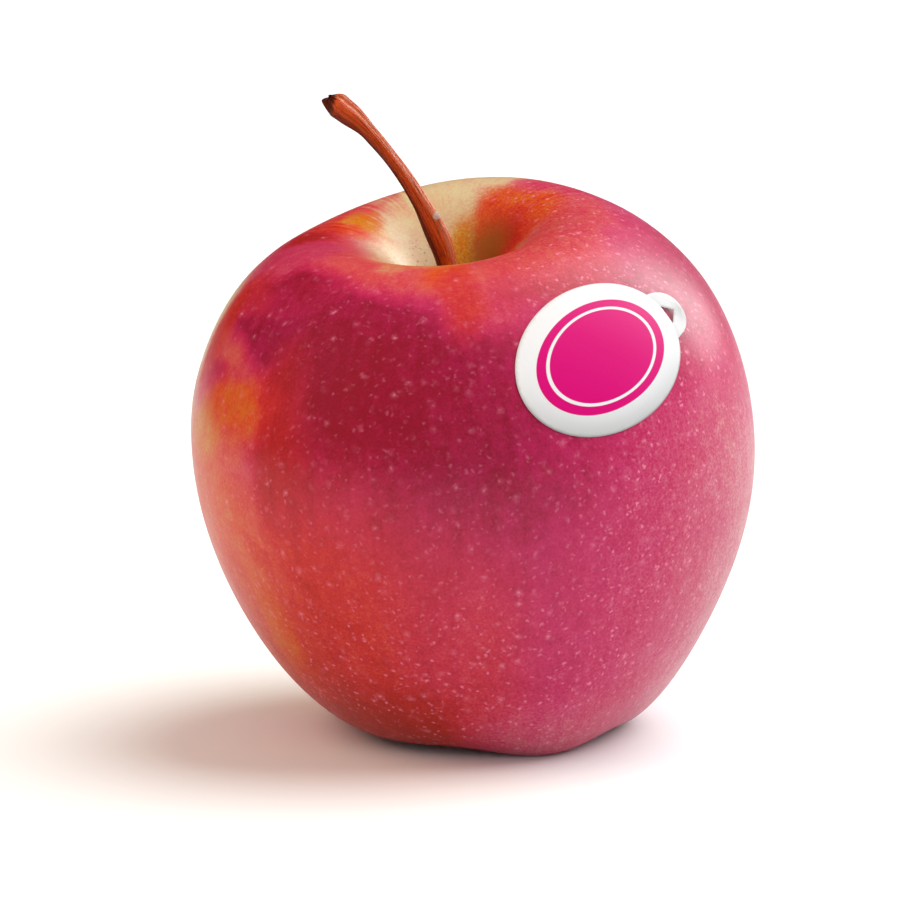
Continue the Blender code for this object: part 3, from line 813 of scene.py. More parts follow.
def unevenness(direction, share):
    """Gentle swells round and down the fruit, from -1 to 1 and nothing at its two pits."""
    swell = sum(
        np.cos(rounds * direction + shift) * np.cos(downs * math.pi * share + 2 * shift)
        for rounds, downs, shift in SWELLS
    )
    return swell / len(SWELLS) * np.sin(math.pi * share)


def fruit_surface(settings):
    """The fruit as rings of points from the stem pit to the calyx pit, and their places on the skin."""
    outline = smooth_curve(HALF_OUTLINE, settings.steps)
    down = lengths_along(outline)
    sides = settings.sides
    direction = FRONT + 2 * math.pi * np.arange(sides) / sides
    radius = np.repeat(outline[:, 0:1], sides, axis=1)
    height = np.repeat(outline[:, 1:2], sides, axis=1)
    directions = np.repeat(direction[None, :], len(outline), axis=0)
    share = (down / down[-1])[:, None]
    radius = radius + settings.unevenness * unevenness(directions, share)
    to_pit = (down[-1] - down)[:, None]
    pleats = PLEAT_DEPTH * np.cos(PLEATS * directions) * np.sin(math.pi * np.clip(to_pit / PLEAT_REACH, 0, 1))
    points = fruit_points(np.maximum(radius, 0), height + pleats, directions)
    points[..., 2] = np.maximum(points[..., 2], 0)
    turn = directions - FRONT
    places = np.stack((np.sin(turn), np.cos(turn), np.repeat(down[:, None], sides, axis=1)), axis=-1)
    return points, places


# Finishes


def skin_finish(look):
    """Blush over a yellow ground, in patches with uneven edges, with pale lenticels all over."""
    paint = Finish("apple_skin")
    place = paint.place()
    skin_place = paint.attribute("skin_place")
    right, front, down = paint.parts(skin_place)
    turn = paint.maths("ARCTAN2", right, front) * (HALF_ROUND / math.pi)
    down = down / MM
    body = paint.step(down, *BODY_MM)
    back = paint.step(front, *BACK_FRONT)
    close = paint.maths("MAXIMUM", paint.step(down, *LOW_MM), paint.step(turn, *RIGHT_TURN))

    wide = paint.noise(place, WIDE_CLOUD, 0.13)
    mottle = paint.noise(place, MOTTLE_CLOUD, 0.31, 3.0)
    blotch = paint.noise(place, BLOTCH_CLOUD, 0.07, 2.0)
    grain = paint.noise(place, GRAIN_CLOUD, 0.0, 1.0)
    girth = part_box("fruit")[1].x / MM
    sheet = paint.vector("MULTIPLY", skin_place, (girth, girth, 1 / MM))
    streak = paint.noise(sheet, STREAK_MM, 11.0, 3.0) * body

    ragged = (WIDE_BEND * wide + MOTTLE_BEND * mottle) * (1 + BACK_BEND * back)
    ragged = ragged + BACK_STREAK_BEND * back * streak
    ragged_down = (WIDE_BEND_MM * wide + mottle) * (body + CAVITY_BEND)
    blush, warmth = skin_patches(paint, turn + ragged, down + ragged_down)
    uneven_blush = streak * (STREAK_BLUSH[0] + STREAK_BLUSH[1] * back) + mottle * MOTTLE_BLUSH
    uneven_blush = uneven_blush + blotch * BLOTCH_BLUSH + grain * (GRAIN_BLUSH[0] + GRAIN_BLUSH[1] * close)
    middling = blush * (1 - blush) * 4  # 1 where the blush is neither thin nor heavy
    blush = blush + at_least(CALM_SHARE, middling) * uneven_blush
    warmth = warmth + wide * WIDE_WARMTH + mottle * MOTTLE_WARMTH

    colour = blush_colour(paint, look, blush, warmth)
    halo, core = lenticels(paint, look, place, close)
    dot_colour = paint.mix(paint.step(blush, *TINT_BLUSH), look.cream, look.dot)
    colour = paint.mix(halo * body * HALO_STRENGTH, colour, dot_colour)
    colour = paint.mix(core * body * CORE_STRENGTH, colour, dot_colour)
    # Brown depth of the cavity, partly the skin's own brown and partly painted shade.
    brown_and_shade = paint.step(oval_distance(paint, turn + CAVITY_BROWN_AND_SHADE_BEND * mottle, down + mottle, *CAVITY_BROWN_AND_SHADE), *CAVITY_BROWN_AND_SHADE_EDGE)
    colour = paint.mix(brown_and_shade * CAVITY_BROWN_AND_SHADE_STRENGTH, colour, CAVITY_BROWN_AND_SHADE_COLOUR)
    colour = paint.mix(russet(paint, place, turn, down) * RUSSET_STRENGTH, colour, RUSSET_COLOUR)

    mottle_share, grain_share, dot_share = SKIN_ROUGHNESS
    roughness = look.roughness + mottle_share * mottle + grain_share * grain + dot_share * core
    paint.set(Base_Color=colour, Roughness=roughness, IOR=look.gloss)
    paint.relief(core * 0.4 + grain * 0.25 + blotch * 0.4, SKIN_RELIEF)
    return paint.material


def at_least(least, share):
    """A share from 0 to 1, raised so that it runs from the least one to 1."""
    return least + (1 - least) * share


def blush_colour(paint, look, blush, warmth):
    """The colours from bare skin to the heaviest blush, over a cream ground and over a yellow one."""
    cool = paint.ramp(
        blush,
        (
            (0.0, look.cream),
            (0.22, look.pale_pink),
            (0.46, look.pink),
            (0.68, look.rose),
            (0.84, look.magenta),
            (1.0, look.crimson),
        ),
    )
    warm = paint.ramp(
        blush,
        ((0.0, look.yellow), (0.28, look.orange), (0.52, look.flame), (0.74, look.red), (1.0, look.dark_red)),
    )
    return paint.mix(warmth, cool, warm)


def lenticels(paint, look, place, close):
    """Soft halos and small cores of ragged pale dots, with more fine ones where they are close-set."""
    ragged = place
    for size, reach in DOT_BENDS:
        ragged = paint.vector("ADD", ragged, jitter(paint, place, size, reach))
    chance, away = scattered_dots(paint, ragged, look.dot_spacing)
    strength = at_least(FAINT_DOT, chance * chance) * at_least(SPARSE_DOTS, close)
    fine_chance, fine_away = scattered_dots(paint, ragged, look.dot_spacing * FINE_SIZE)
    fine_strength = fine_chance * at_least(SPARSE_FINE_DOTS, close)
    halo = paint.step(away, *HALO) * strength
    core = paint.step(away, *CORE) * strength
    fine_halo = paint.step(fine_away, *FINE_HALO) * fine_strength
    fine_core = paint.step(fine_away, *FINE_CORE) * fine_strength
    return paint.maths("MAXIMUM", halo, fine_halo), paint.maths("MAXIMUM", core, fine_core)


def scattered_dots(paint, place, spacing):
    """A random number for each cell of skin, and the distance to the dot in it."""
    return paint.parts(paint.cells(place, spacing, "Color"))[0], paint.cells(place, spacing, "Distance")


def russet(paint, place, turn, down):
    """Fine dots deep in the cavity, in clouds and all over its left wall."""
    dots = paint.step(paint.cells(place, RUSSET_CELL, "Distance"), *RUSSET_DOT)
    clouds = paint.step(paint.noise(place, RUSSET_CLOUD, 0.1), *RUSSET_PATCH)
    wall = paint.step(oval_distance(paint, turn, down, *RUSSET), *RUSSET_EDGE)
    return dots * paint.step(down, *DEEP_MM) * paint.maths("MAXIMUM", clouds, wall)


def skin_patches(paint, turn, down):
    """How red the skin is and how much yellow lies under the red, from the patches laid one over another."""
    blush = SKIN_BLUSH
    warmth = SKIN_WARMTH
    for *oval, soft, patch_blush, patch_warmth in PATCHES:
        mask = paint.step(oval_distance(paint, turn, down, *oval), 1 + soft, 1 - soft)
        blush = blush + mask * (patch_blush - blush)
        warmth = warmth + mask * (patch_warmth - warmth)
    return blush, warmth


def oval_distance(paint, turn, down, patch_turn, patch_down, half_turn, half_down):
    """1 on the edge of an oval of skin, less inside it and more outside."""
    away = paint.maths("WRAP", turn - patch_turn, HALF_ROUND, -HALF_ROUND) / half_turn
    below = (down - patch_down) / half_down
    return (away * away + below * below) ** 0.5


def jitter(paint, place, size, reach):
    """Small sideways shifts that make the dots ragged."""
    moved = paint.vector("DIVIDE", place, size)
    cloud = paint.add("ShaderNodeTexNoise", {}, {"Vector": moved, "Scale": 1.0, "Detail": 1.0}, "Color")
    return paint.vector("MULTIPLY", paint.vector("SUBTRACT", cloud, 0.5), reach)


def bark_finish(look, length):
    """Reddish bark with painted shade on the left and paler bark with a painted highlight on the right, a bud
    scar and a dark broken end.
    """
    paint = Finish("stem_bark")
    place = paint.attribute("stem_place")
    right, _, along = paint.parts(place)
    spot = paint.vector("MULTIPLY", place, (1.0, 1.0, 1 / MM))
    ridge = paint.noise(spot, BARK_RIDGE, 5.0, 3.0)
    wrinkle = paint.noise(spot, BARK_WRINKLE, 9.0, 3.0)
    fleck = paint.noise(spot, BARK_FLECK, 15.0, 2.0)
    foot = paint.step(along / length, *FOOT_SHARE)
    by_ridge, by_wrinkle, by_fleck, by_fleck_on_foot = BARK_LIGHT
    # Painted light and shade: from shaded bark on the left to paler, lit bark on the right, broken by the
    # ridges, wrinkles and flecks.
    light = right * 0.5 + 0.5 + ridge * by_ridge + wrinkle * by_wrinkle
    light = light + fleck * (by_fleck + by_fleck_on_foot * foot)
    colour = paint.ramp(
        light,
        (
            (0.10, look.shaded),
            (0.42, look.bark),
            (0.70, look.bark),
            (0.86, look.bleached_and_lit),
            (1.0, look.bark),
        ),
    )
    groove = paint.step(ridge + 0.3 * wrinkle, *GROOVE_EDGE)
    colour = paint.mix(groove * GROOVE_STRENGTH, colour, look.groove)
    speckle = paint.step(fleck, *SPECKLE_EDGE) * foot * paint.step(right, *SPECKLE_SIDE)
    colour = paint.mix(speckle * SPECKLE_STRENGTH, colour, look.bleached_and_lit)

    # The scar of a bud: a pale corky oval with a dark dot at its upper right.
    middle = (math.cos(BUD_SCAR_ANGLE), math.sin(BUD_SCAR_ANGLE), BUD_SCAR_AT * length / MM)
    to_scar = paint.vector("SUBTRACT", spot, middle)
    scar = paint.length(paint.vector("DIVIDE", to_scar, SCAR_SIZE))
    hole = paint.length(paint.vector("SUBTRACT", to_scar, SCAR_HOLE))
    colour = paint.mix(paint.step(scar + 0.3 * fleck, *SCAR_EDGE), colour, look.scar)
    colour = paint.mix(paint.step(hole, *SCAR_HOLE_EDGE), colour, look.groove)

    start, end = (length / MM + past for past in BROKEN_MM)
    broken = paint.step(along / MM + 0.5 * fleck - 0.5 * right, start, end)
    torn = paint.mix(paint.step(fleck, *TORN_EDGE), look.groove, look.shaded)
    colour = paint.mix(broken, colour, torn)
    paint.set(Base_Color=colour, Roughness=BARK_ROUGHNESS + 0.12 * wrinkle + 0.3 * broken, IOR=BARK_GLOSS)
    paint.relief(fleck * 0.3 + wrinkle * 0.4 - ridge * 0.9, BARK_RELIEF)
    return paint.material


def dry_finish(look):
    """Dead brown leaf with a grey bloom of fine down."""
    paint = Finish("dried_calyx")
    cloud = paint.noise(paint.place(), DRY_CLOUD, 0.0, 3.0)
    fine = paint.noise(paint.place(), DRY_FINE_CLOUD, 0.03, 2.0)
    colour = paint.mix(paint.step(cloud, -0.5, 0.5), dimmed(look.dry, DRY_DARK), look.dry)
    colour = paint.mix(paint.step(fine, 0.1, 0.6) * DOWN_STRENGTH, colour, DOWN_COLOUR)
    paint.set(Base_Color=colour, Roughness=DRY_ROUGHNESS)
    paint.relief(fine * 0.5 + cloud * 0.5, DRY_RELIEF)
    return paint.material


def paper_finish(look):
    """White coated paper with a plain printed oval and a thin white ring in it, with painted shade on its
    lower edge and curled tab and a painted shadow along its cut edge.
    """
    paint = Finish("label_paper")
    along, up, _ = paint.parts(paint.attribute("label_place"))
    oval = label_oval(along, up, look.margin)
    field, outer, inner = (
        paint.step(oval, size + PRINT_EDGE, size - PRINT_EDGE) for size in (1, RING_OUTER, RING_INNER)
    )
    edge = label_oval(along, up, 0.0)
    # Painted shade: the paper greys over its lower part towards the edge.
    slant = up / LABEL_HALF_WIDTH + SHADE_SLANT * along / LABEL_HALF_LENGTH
    lower = paint.step(slant, *SHADE_BELOW)
    painted_shade = lower * paint.step(edge, *SHADE_EDGE)
    paper = paint.mix(painted_shade, look.paper, dimmed(look.paper, look.painted_shade))
    # Painted shadow along the cut edge, heavier below, and painted shade on the curled tab.
    edge_shadow = paint.step(edge, *EDGE_SHADOW_INSIDE) * paint.step(edge, *EDGE_SHADOW_OUTSIDE) * at_least(EDGE_SHADOW_LEAST, lower)
    curl = paint.step(along, *CURL_SHADE_ALONG) * paint.step(up, *CURL_SHADE_DOWN)
    edge_and_curl_shadow = paint.maths("MAXIMUM", edge_shadow, curl * CURL_SHADE_STRENGTH)
    paper = paint.mix(edge_and_curl_shadow, paper, dimmed(look.paper, EDGE_AND_CURL_SHADE))
    colour = paint.mix(field - outer + inner, paper, look.print_colour)
    grain = paint.noise(paint.place(), PAPER_GRAIN, 0.0, 2.0)
    paint.set(Base_Color=colour, Roughness=PAPER_ROUGHNESS + 0.04 * grain, IOR=PAPER_GLOSS)
    paint.relief(grain, PAPER_RELIEF)
    return paint.material


def dimmed(colour, share):
    """The same colour with only a share of its light."""
    return tuple(share * channel for channel in colour)


def label_oval(along, up, margin):
    """1 on an oval inside the label's edge by the margin, and less towards the middle of the label."""
    far = along / (LABEL_HALF_LENGTH - margin)
    high = up / (LABEL_HALF_WIDTH - margin)
    return (far * far + high * high) ** 0.5


def floor_finish(look):
    """Plain pale board with a barely visible cloudiness."""
    paint = Finish("pale_floor")
    cloud = paint.noise(paint.place(), FLOOR_CLOUD, 0.0, 2.0)
    colour = paint.mix(paint.step(cloud, -1.0, 1.0), dimmed(look.floor, FLOOR_SHADE), look.floor)
    paint.set(Base_Color=colour, Roughness=FLOOR_ROUGHNESS)
    return paint.material


# Operators


class APPLE_OT_fruit(Operator):
    """Build the fruit with its skin"""

    bl_idname = "apple.fruit"
    bl_label = "Fruit"

    def execute(self, context):
        look = context.scene.apple_skin
        points, places = fruit_surface(look)
        rings, sides = points.shape[:2]
        inner = slice(1, rings - 1)
        spots = points[inner].reshape(-1, 3)
        marks = places[inner].reshape(-1, 3)
        faces = ring_faces(rings - 2, sides)
        top, bottom = len(spots), len(spots) + 1
        spots = np.vstack((spots, points[0].mean(axis=0), points[-1].mean(axis=0)))
        marks = np.vstack((marks, places[0, 0], places[-1, 0]))
        faces += fan_faces(top, 0, sides) + fan_faces(bottom, top - sides, sides)
        fruit = add_piece("whole_fruit", spots, faces, "fruit", {"skin_place": marks})
        fruit.data.materials.append(skin_finish(look))
        return {"FINISHED"}


class APPLE_OT_stem(Operator):
    """Build the woody stem"""

    bl_idname = "apple.stem"
    bl_label = "Stem"

    def execute(self, context):
        look = context.scene.apple_stem
        points, places, faces, length = stem_surface(look)
        stem = add_piece("woody_stem", points, faces, "stem", {"stem_place": places})
        stem.data.materials.append(bark_finish(look, length))
        return {"FINISHED"}


def stem_radius(share, angle, length):
    """Thickness of the stem with its long ridges and the small scar of a bud on its right side."""
    ridged = rise(share, RIDGE_START, RIDGE_BLEND)
    ridges = sum(
        height * np.cos(count * angle + twist * share * 2 * math.pi) for count, height, twist in STEM_RIDGES
    )
    past = length * (share - BUD_SCAR_AT) / BUD_SCAR_LENGTH
    turn = ((angle - BUD_SCAR_ANGLE + math.pi) % (2 * math.pi) - math.pi) / BUD_SCAR_WIDTH
    return between(STEM_RADII, share) * (1 + ridged * ridges) + BUD_SCAR_HEIGHT * np.exp(-(past**2) - turn**2)


def stem_surface(look):
    """Rings along the stem and over its crown: points, their places on the bark, faces and length."""
    line = even_points(smooth_curve(STEM_LINE, STEM_STEPS, curve_through), look.rings)
    length = lengths_along(line)[-1]
    last = look.rings - 1
    angle = 2 * math.pi * np.arange(look.sides) / look.sides
    notches = sum(size * np.cos(count * angle + turn) for count, size, turn in CROWN_NOTCHES)
    fibres = CROWN_FIBRE * np.random.default_rng(FIBRE_SEED).standard_normal(look.sides)
    crown = smooth_curve(STEM_CROWN, CROWN_STEPS, curve_through)
    rings = [(i, 1, 0, crown[0][2]) for i in range(look.rings)]
    rings += [(last, *crown_ring) for crown_ring in crown[1:]]
    points = []
    places = []
    for i, shrink, height, lean in rings:
        along, side, back = across(line, i)
        share = i / last
        grown = max(share - CROWN_START, 0) / (1 - CROWN_START)
        past = height + grown**2 * (lean * np.cos(angle) + shrink * notches)
        past = past + fibres * (1 - shrink) * shrink * 4
        radius = stem_radius(share, angle, length) * shrink
        for a, out, far in zip(angle, radius, past):
            flat = side * math.cos(a) + back * STEM_FLATTEN * math.sin(a)
            points.append(line[i] + flat * out + along * far)
            places.append((math.cos(a), math.sin(a), share * length + height))
    crown_height = STEM_CROWN[-1][1]
    tip = len(points)
    faces = ring_faces(len(rings), look.sides)
    faces += fan_faces(tip, tip - look.sides, look.sides) + fan_faces(tip + 1, 0, look.sides)
    points += [line[-1] + along * crown_height, line[0]]
    places += [(0, 0, length + crown_height), (0, 0, 0)]
    return points, places, faces, length


class APPLE_OT_calyx(Operator):
    """Build the dried calyx under the fruit"""

    bl_idname = "apple.calyx"
    bl_label = "Calyx"

    def execute(self, context):
        look = context.scene.apple_calyx
        chance = np.random.default_rng(CALYX_SEED)
        low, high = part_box("calyx")
        foot = np.array(((low.x + high.x) / 2, (low.y + high.y) / 2, HALF_OUTLINE[-1][1] - CALYX_GAP))
        points = []
        faces = []

        def add(new_points, new_faces):
            faces.extend(tuple(len(points) + corner for corner in face) for face in new_faces)
            points.extend(new_points)

        add(*button(foot))
        blades = []
        for i in range(SEPALS):
            direction = 2 * math.pi * (i + SEPAL_DRIFT * uneven(i)) / SEPALS
            blade = sepal(foot, direction, 1 + SEPAL_UNEVEN * uneven(i + 1), chance)
            blades.append(blade)
            add(blade.reshape(-1, 3), sheet_faces(*blade.shape[:2]))
        for i in range(look.stamens):
            direction = 2 * math.pi * i / look.stamens + STAMEN_DRIFT * chance.standard_normal()
            add(*stamen(foot, direction, chance))
        calyx = add_piece("dried_calyx", points, faces, "calyx")
        finish = dry_finish(look)
        calyx.data.materials.append(finish)

        points = []
        faces = []
        for blade in blades:
            for _ in range(look.hairs):
                add(*hair(blade, chance))
        hairs = add_piece("calyx_hairs", points, faces)
        hairs.data.materials.append(finish)
        return {"FINISHED"}


def uneven(number):
    """A value from -1 to 1 that jumps about from one whole number to the next."""
    return math.sin(UNEVEN_RATE * number)


def button(foot):
    """A low dome that the sepals stand on."""
    waves, swell = BUTTON_WAVE
    points = []
    for i in range(1, BUTTON_RINGS):
        slope = math.pi * i / BUTTON_RINGS
        height = CALYX_BUTTON_HEIGHT / 2 * math.cos(slope)
        for j in range(BUTTON_SIDES):
            angle = 2 * math.pi * j / BUTTON_SIDES
            radius = CALYX_BUTTON_RADIUS * math.sin(slope) * (1 + swell * math.cos(waves * angle))
            points.append(foot + np.array((radius * math.cos(angle), radius * math.sin(angle), height)))
    return points, closed_tube(BUTTON_RINGS - 1, BUTTON_SIDES)


def sepal(foot, direction, length_share, chance):
    """A thin, cupped and crumpled blade, as a grid of points: along it, across it, and its two faces."""
    steps, wide = SEPAL_GRID
    notches, notch = SEPAL_NOTCHES
    creases, crease = SEPAL_CREASES
    waves, waves_across, wave = SEPAL_WAVES
    arc = [(out, down * length_share) for out, down in SEPAL_ARC]
    line = even_points(smooth_curve(arc, SEPAL_ARC_STEPS), steps + 1)
    outward = np.array((math.cos(direction), math.sin(direction), 0))
    sideways = np.array((-outward[1], outward[0], 0))
    crumple = chance.uniform(0, 2 * math.pi, 3)
    blade = np.zeros((steps + 1, wide + 1, 2, 3))
    for i in range(steps + 1):
        share = i / steps
        ahead = line[min(i + 1, steps)] - line[max(i - 1, 0)]
        along = outward * ahead[0] + np.array((0, 0, ahead[1]))
        along = along / np.linalg.norm(along)
        face = np.cross(sideways, along)
        half = SEPAL_WIDTH / 2 * (1 - share**SEPAL_TAPER) + SEPAL_TIP
        half *= 1 + notch * math.sin(notches * share + crumple[0])
        middle = foot + outward * line[i][0] + np.array((0, 0, line[i][1]))
        for j in range(wide + 1):
            side = 2 * j / wide - 1
            bulge = half * (SEPAL_CUP * side**2 - crease * math.cos(creases * side + crumple[1]))
            bulge += wave * math.sin(waves * share + waves_across * side + crumple[2])
            spot = middle + sideways * side * half + face * bulge
            blade[i, j, 0] = spot + face * SEPAL_THICKNESS / 2
            blade[i, j, 1] = spot - face * SEPAL_THICKNESS / 2
    return blade


def sheet_faces(long, wide):
    """Faces of a thin closed sheet stored as a grid of points with an upper and a lower face."""

    def spot(i, j, layer):
        return (i * wide + j) * 2 + layer

    faces = []
    for i in range(long - 1):
        for j in range(wide - 1):
            corners = ((i, j), (i + 1, j), (i + 1, j + 1), (i, j + 1))
            faces += [tuple(spot(*corner, layer) for corner in corners) for layer in (0, 1)]
    border = [(i, 0) for i in range(long)]
    border += [(long - 1, j) for j in range(1, wide)]
    border += [(i, wide - 1) for i in range(long - 2, -1, -1)]
    border += [(0, j) for j in range(wide - 2, 0, -1)]
    for here, there in zip(border, border[1:] + border[:1]):
        faces.append((spot(*here, 0), spot(*there, 0), spot(*there, 1), spot(*here, 1)))
    return faces


def thin_rod(line, radii, sides):
    """Points and faces of a rod along a line, with closed ends."""
    points = []
    for i, radius in enumerate(radii):
        _, side, back = across(line, i)
        for j in range(sides):
            angle = 2 * math.pi * j / sides
            points.append(line[i] + radius * (side * math.cos(angle) + back * math.sin(angle)))
    return points, closed_tube(len(radii), sides)


def stamen(foot, direction, chance):
    """A dried, bent stamen with what is left of its anther."""
    out = np.array((math.cos(direction), math.sin(direction), 0))
    length = STAMEN_LENGTH * chance.uniform(*STAMEN_LENGTHS)
    bend = STAMEN_BEND * chance.standard_normal(3)
    bend[2] = 0
    line = [foot + out * away - (0, 0, length * down) + bend * bent for away, down, bent in STAMEN_LINE]
    line = smooth_curve(line, STAMEN_STEPS, curve_through)
    radii = [STAMEN_RADIUS] * (len(line) - len(ANTHER)) + [STAMEN_RADIUS * share for share in ANTHER]
    return thin_rod(line, radii, STAMEN_SIDES)


def hair(blade, chance):
    """One fine hair that stands out from a sepal."""
    i = chance.integers(2, blade.shape[0] - 1)
    j = chance.integers(0, blade.shape[1])
    layer = chance.integers(0, 2)
    root = blade[i, j, layer]
    out = blade[i, j, layer] - blade[i, j, 1 - layer]
    out = out / np.linalg.norm(out) + HAIR_SPREAD * chance.standard_normal(3)
    out = out / np.linalg.norm(out)
    length = chance.uniform(*HAIR_LENGTHS)
    curl = HAIR_CURL * length * chance.standard_normal(3)
    middle = root + out * length * 0.5 + curl * 0.3
    line = np.array((root - out * HAIR_ROOT, middle, root + out * length + curl))
    return thin_rod(line, [HAIR_RADIUS * share for share in HAIR_TAPER], HAIR_SIDES)


def label_reach(angle):
    """Distance from the middle of the label to the edge of its oval, and to its edge over oval and tab."""
    oval = 1 / math.hypot(math.cos(angle) / LABEL_HALF_LENGTH, math.sin(angle) / LABEL_HALF_WIDTH)
    away = angle - TAB_ANGLE
    miss = TAB_CENTRE * math.sin(away)
    tab = 0.0
    if abs(miss) < TAB_RADIUS and math.cos(away) > 0:
        tab = TAB_CENTRE * math.cos(away) + math.sqrt(TAB_RADIUS**2 - miss**2)
    return oval, max(oval, tab)


def inside(point, corners):
    """Whether a point of the plane lies inside a triangle."""
    turns = []
    for (ax, ay), (bx, by) in zip(corners, corners[1:] + corners[:1]):
        turns.append((bx - ax) * (point[1] - ay) - (by - ay) * (point[0] - ax))
    return max(turns) < 0 or min(turns) > 0


def label_plane():
    """Points, triangles and edge loops of the flat label, with the hole beside its tab."""
    rim = []
    for i in range(LABEL_SPOKES):
        angle = 2 * math.pi * i / LABEL_SPOKES
        reach = label_reach(angle)[1]
        rim.append((reach * math.cos(angle), reach * math.sin(angle)))
    hole = []
    shares = [step / HOLE_STEPS for step in range(HOLE_STEPS)]
    for (ax, ay), (bx, by) in zip(TAB_HOLE, TAB_HOLE[1:] + TAB_HOLE[:1]):
        hole += [(ax + (bx - ax) * share, ay + (by - ay) * share) for share in shares]
    fill = []
    count = math.ceil((TAB_CENTRE + TAB_RADIUS) / LABEL_STEP)
    for i in range(-count, count + 1):
        for j in range(-count, count + 1):
            spot = (i * LABEL_STEP, j * LABEL_STEP)
            edge = label_reach(math.atan2(spot[1], spot[0]))[1]
            clear = min(math.dist(spot, corner) for corner in hole) > HOLE_GAP
            if math.hypot(*spot) < edge - RIM_GAP and clear and not inside(spot, TAB_HOLE):
                fill.append(spot)
    points = rim + hole + fill
    loops = [range(LABEL_SPOKES), range(LABEL_SPOKES, LABEL_SPOKES + len(hole))]
    edges = []
    for loop in loops:
        edges += list(zip(loop, [*loop[1:], loop[0]]))
    flat, _, triangles, *_ = delaunay_2d_cdt([Vector(point) for point in points], edges, [], 1, MERGE_GAP)
    kept = []
    for triangle in triangles:
        middle = sum((flat[corner] for corner in triangle), Vector((0, 0))) / 3
        if not inside(middle, TAB_HOLE):
            kept.append(tuple(triangle))
    return flat, kept, edges


class APPLE_OT_label(Operator):
    """Build the paper label on the shoulder of the fruit"""

    bl_idname = "apple.label"
    bl_label = "Label"

    def execute(self, context):
        look = context.scene.apple_label
        fruit = bpy.data.objects["whole_fruit"]
        skin = BVHTree.FromObject(fruit, context.evaluated_depsgraph_get())
        out = Vector((math.cos(LABEL_DIRECTION), math.sin(LABEL_DIRECTION), 0))
        middle, normal, _, _ = skin.ray_cast(Vector((0, 0, LABEL_HEIGHT)) + out * AIM_FROM, -out)
        level = Vector((0, 0, 1)).cross(normal).normalized()
        up = normal.cross(level)
        long_way = level * math.cos(LABEL_ROLL) + up * math.sin(LABEL_ROLL)
        short_way = normal.cross(long_way)
        flat, triangles, edges = label_plane()
        points = []
        places = []
        for thickness in (LABEL_GLUE, LABEL_GLUE + LABEL_THICKNESS):
            for x, y in flat:
                over = middle + long_way * x + short_way * y + normal * DROP_FROM
                spot, _, _, _ = skin.ray_cast(over, -normal)
                oval = label_reach(math.atan2(y, x))[0]
                past = min(max((math.hypot(x, y) - oval) / TAB_RADIUS, 0.0), 1.0)
                points.append(spot + normal * (thickness + TAB_LIFT * past))
                places.append((x, y, 0))
        layer = len(flat)
        faces = [triangle[::-1] for triangle in triangles]
        faces += [tuple(layer + corner for corner in triangle) for triangle in triangles]
        faces += [(a, b, layer + b, layer + a) for a, b in edges]
        label = add_piece("paper_label", points, faces, "label", {"label_place": places})
        label.data.materials.append(paper_finish(look))
        return {"FINISHED"}


def way_to(direction, rise_angle):
    """The direction from the apple to a light or the camera, with a length of 1."""
    flat = math.cos(rise_angle)
    return Vector((flat * math.cos(direction), flat * math.sin(direction), math.sin(rise_angle)))


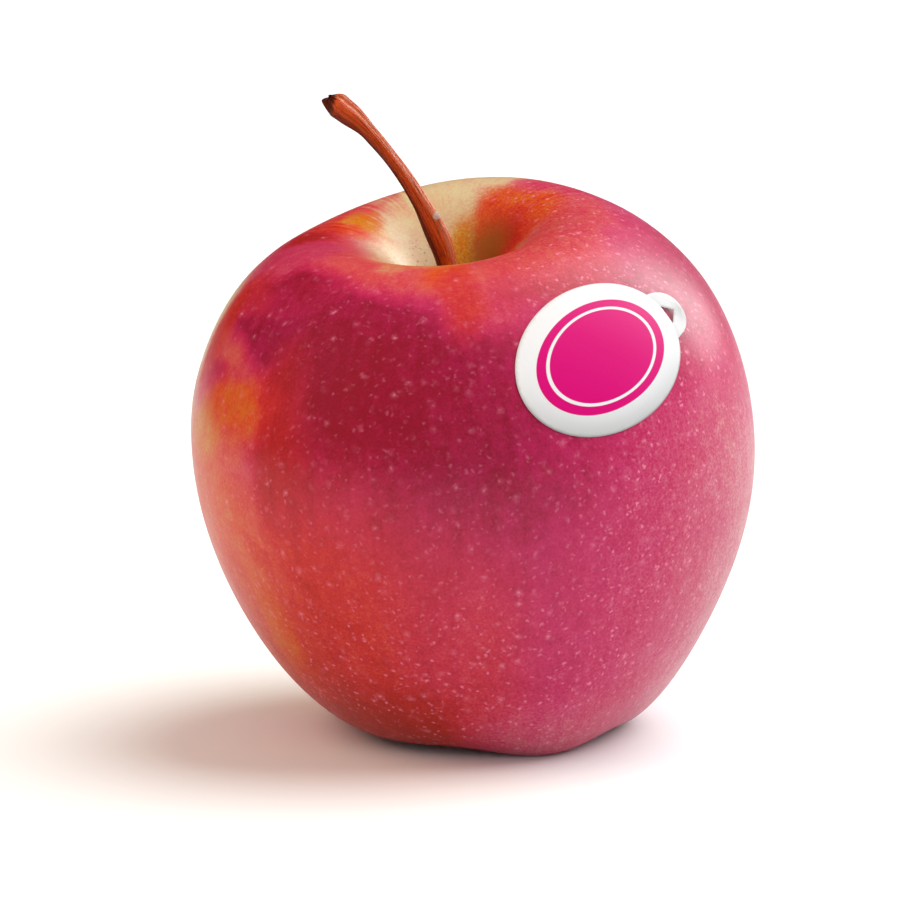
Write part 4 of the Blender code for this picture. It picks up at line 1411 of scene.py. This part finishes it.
class APPLE_OT_stage(Operator):
    """Set up the floor, the lights and the camera"""

    bl_idname = "apple.stage"
    bl_label = "Stage"

    def execute(self, context):
        look = context.scene.apple_stage
        self.add_floor(look)
        self.add_key()
        for softbox in SOFTBOXES:
            self.add_softbox(*softbox)
        world = bpy.data.worlds.new("studio")
        world.use_nodes = True
        world.node_tree.nodes["Background"].inputs["Color"].default_value = (1, 1, 1, 1)
        world.node_tree.nodes["Background"].inputs["Strength"].default_value = look.sky
        world.cycles_visibility.glossy = False
        context.scene.world = world
        self.add_camera(context.scene)
        context.scene.view_settings.view_transform = "Standard"
        context.scene.view_settings.exposure = look.exposure
        return {"FINISHED"}

    @staticmethod
    def add_floor(look):
        half = FLOOR_HALF_SIZE
        mesh = bpy.data.meshes.new("floor")
        corners = ((-half, -half), (half, -half), (half, half), (-half, half))
        mesh.from_pydata([(x, y, -FLOOR_DROP) for x, y in corners], [], [(0, 1, 2, 3)])
        mesh.materials.append(floor_finish(look))
        floor = bpy.data.objects.new("floor", mesh)
        bpy.context.scene.collection.objects.link(floor)

    @staticmethod
    def add_key():
        light = bpy.data.lights.new("key", "SUN")
        light.energy = KEY_STRENGTH
        light.angle = KEY_SPREAD
        key = bpy.data.objects.new("key", light)
        key.rotation_euler = way_to(KEY_DIRECTION, KEY_RISE).to_track_quat("Z", "Y").to_euler()
        key.visible_glossy = False
        bpy.context.scene.collection.objects.link(key)

    @staticmethod
    def add_softbox(name, direction, rise_angle, distance, width, height, power, colour, mirrored):
        light = bpy.data.lights.new(name, "AREA")
        light.shape = "RECTANGLE"
        light.size = width
        light.size_y = height
        light.energy = power
        light.color = colour
        softbox = bpy.data.objects.new(name, light)
        way = way_to(math.radians(direction), math.radians(rise_angle))
        softbox.location = Vector(LOOK_AT) + way * distance
        softbox.rotation_euler = way.to_track_quat("Z", "Y").to_euler()
        softbox.visible_glossy = mirrored
        softbox.visible_diffuse = not mirrored
        bpy.context.scene.collection.objects.link(softbox)

    @staticmethod
    def add_camera(scene):
        camera = bpy.data.cameras.new("camera")
        camera.sensor_fit = "HORIZONTAL"
        camera.sensor_width = SENSOR_WIDTH
        camera.lens = SENSOR_WIDTH * CAMERA_DISTANCE * PIXELS_PER_METRE / PICTURE_WIDTH
        camera.shift_x = (PICTURE_WIDTH / 2 - APPLE_PIXEL[0]) / PICTURE_WIDTH
        camera.shift_y = (APPLE_PIXEL[1] - PICTURE_WIDTH / 2) / PICTURE_WIDTH
        camera.clip_start = CAMERA_NEAREST
        viewer = bpy.data.objects.new("camera", camera)
        way = way_to(FRONT, CAMERA_RISE)
        viewer.location = Vector(LOOK_AT) + way * CAMERA_DISTANCE
        viewer.rotation_euler = way.to_track_quat("Z", "Y").to_euler()
        scene.collection.objects.link(viewer)
        scene.camera = viewer


class APPLE_PT_panel(Panel):
    """Settings of the apple and the steps that build it"""

    bl_idname = "APPLE_PT_panel"
    bl_label = "Apple"
    bl_space_type = "VIEW_3D"
    bl_region_type = "UI"
    bl_category = "Apple"

    def draw(self, context):
        for step, settings in STEPS:
            box = self.layout.box()
            group = getattr(context.scene, settings)
            for name in group.__annotations__:
                box.prop(group, name)
            box.operator(step)


STEPS = (
    ("apple.fruit", "apple_skin"),
    ("apple.stem", "apple_stem"),
    ("apple.calyx", "apple_calyx"),
    ("apple.label", "apple_label"),
    ("apple.stage", "apple_stage"),
)
SETTINGS = {
    "apple_skin": SkinSettings,
    "apple_stem": StemSettings,
    "apple_calyx": CalyxSettings,
    "apple_label": LabelSettings,
    "apple_stage": StageSettings,
}
CLASSES = (
    *SETTINGS.values(),
    APPLE_OT_fruit,
    APPLE_OT_stem,
    APPLE_OT_calyx,
    APPLE_OT_label,
    APPLE_OT_stage,
    APPLE_PT_panel,
)


def register():
    for each in CLASSES:
        bpy.utils.register_class(each)
    for name, group in SETTINGS.items():
        setattr(bpy.types.Scene, name, PointerProperty(type=group))


def unregister():
    for name in SETTINGS:
        delattr(bpy.types.Scene, name)
    for each in reversed(CLASSES):
        bpy.utils.unregister_class(each)


def main():
    register()
    bpy.ops.apple.fruit()
    bpy.ops.apple.stem()
    bpy.ops.apple.calyx()
    bpy.ops.apple.label()
    bpy.ops.apple.stage()


if __name__ == "__main__":
    main()
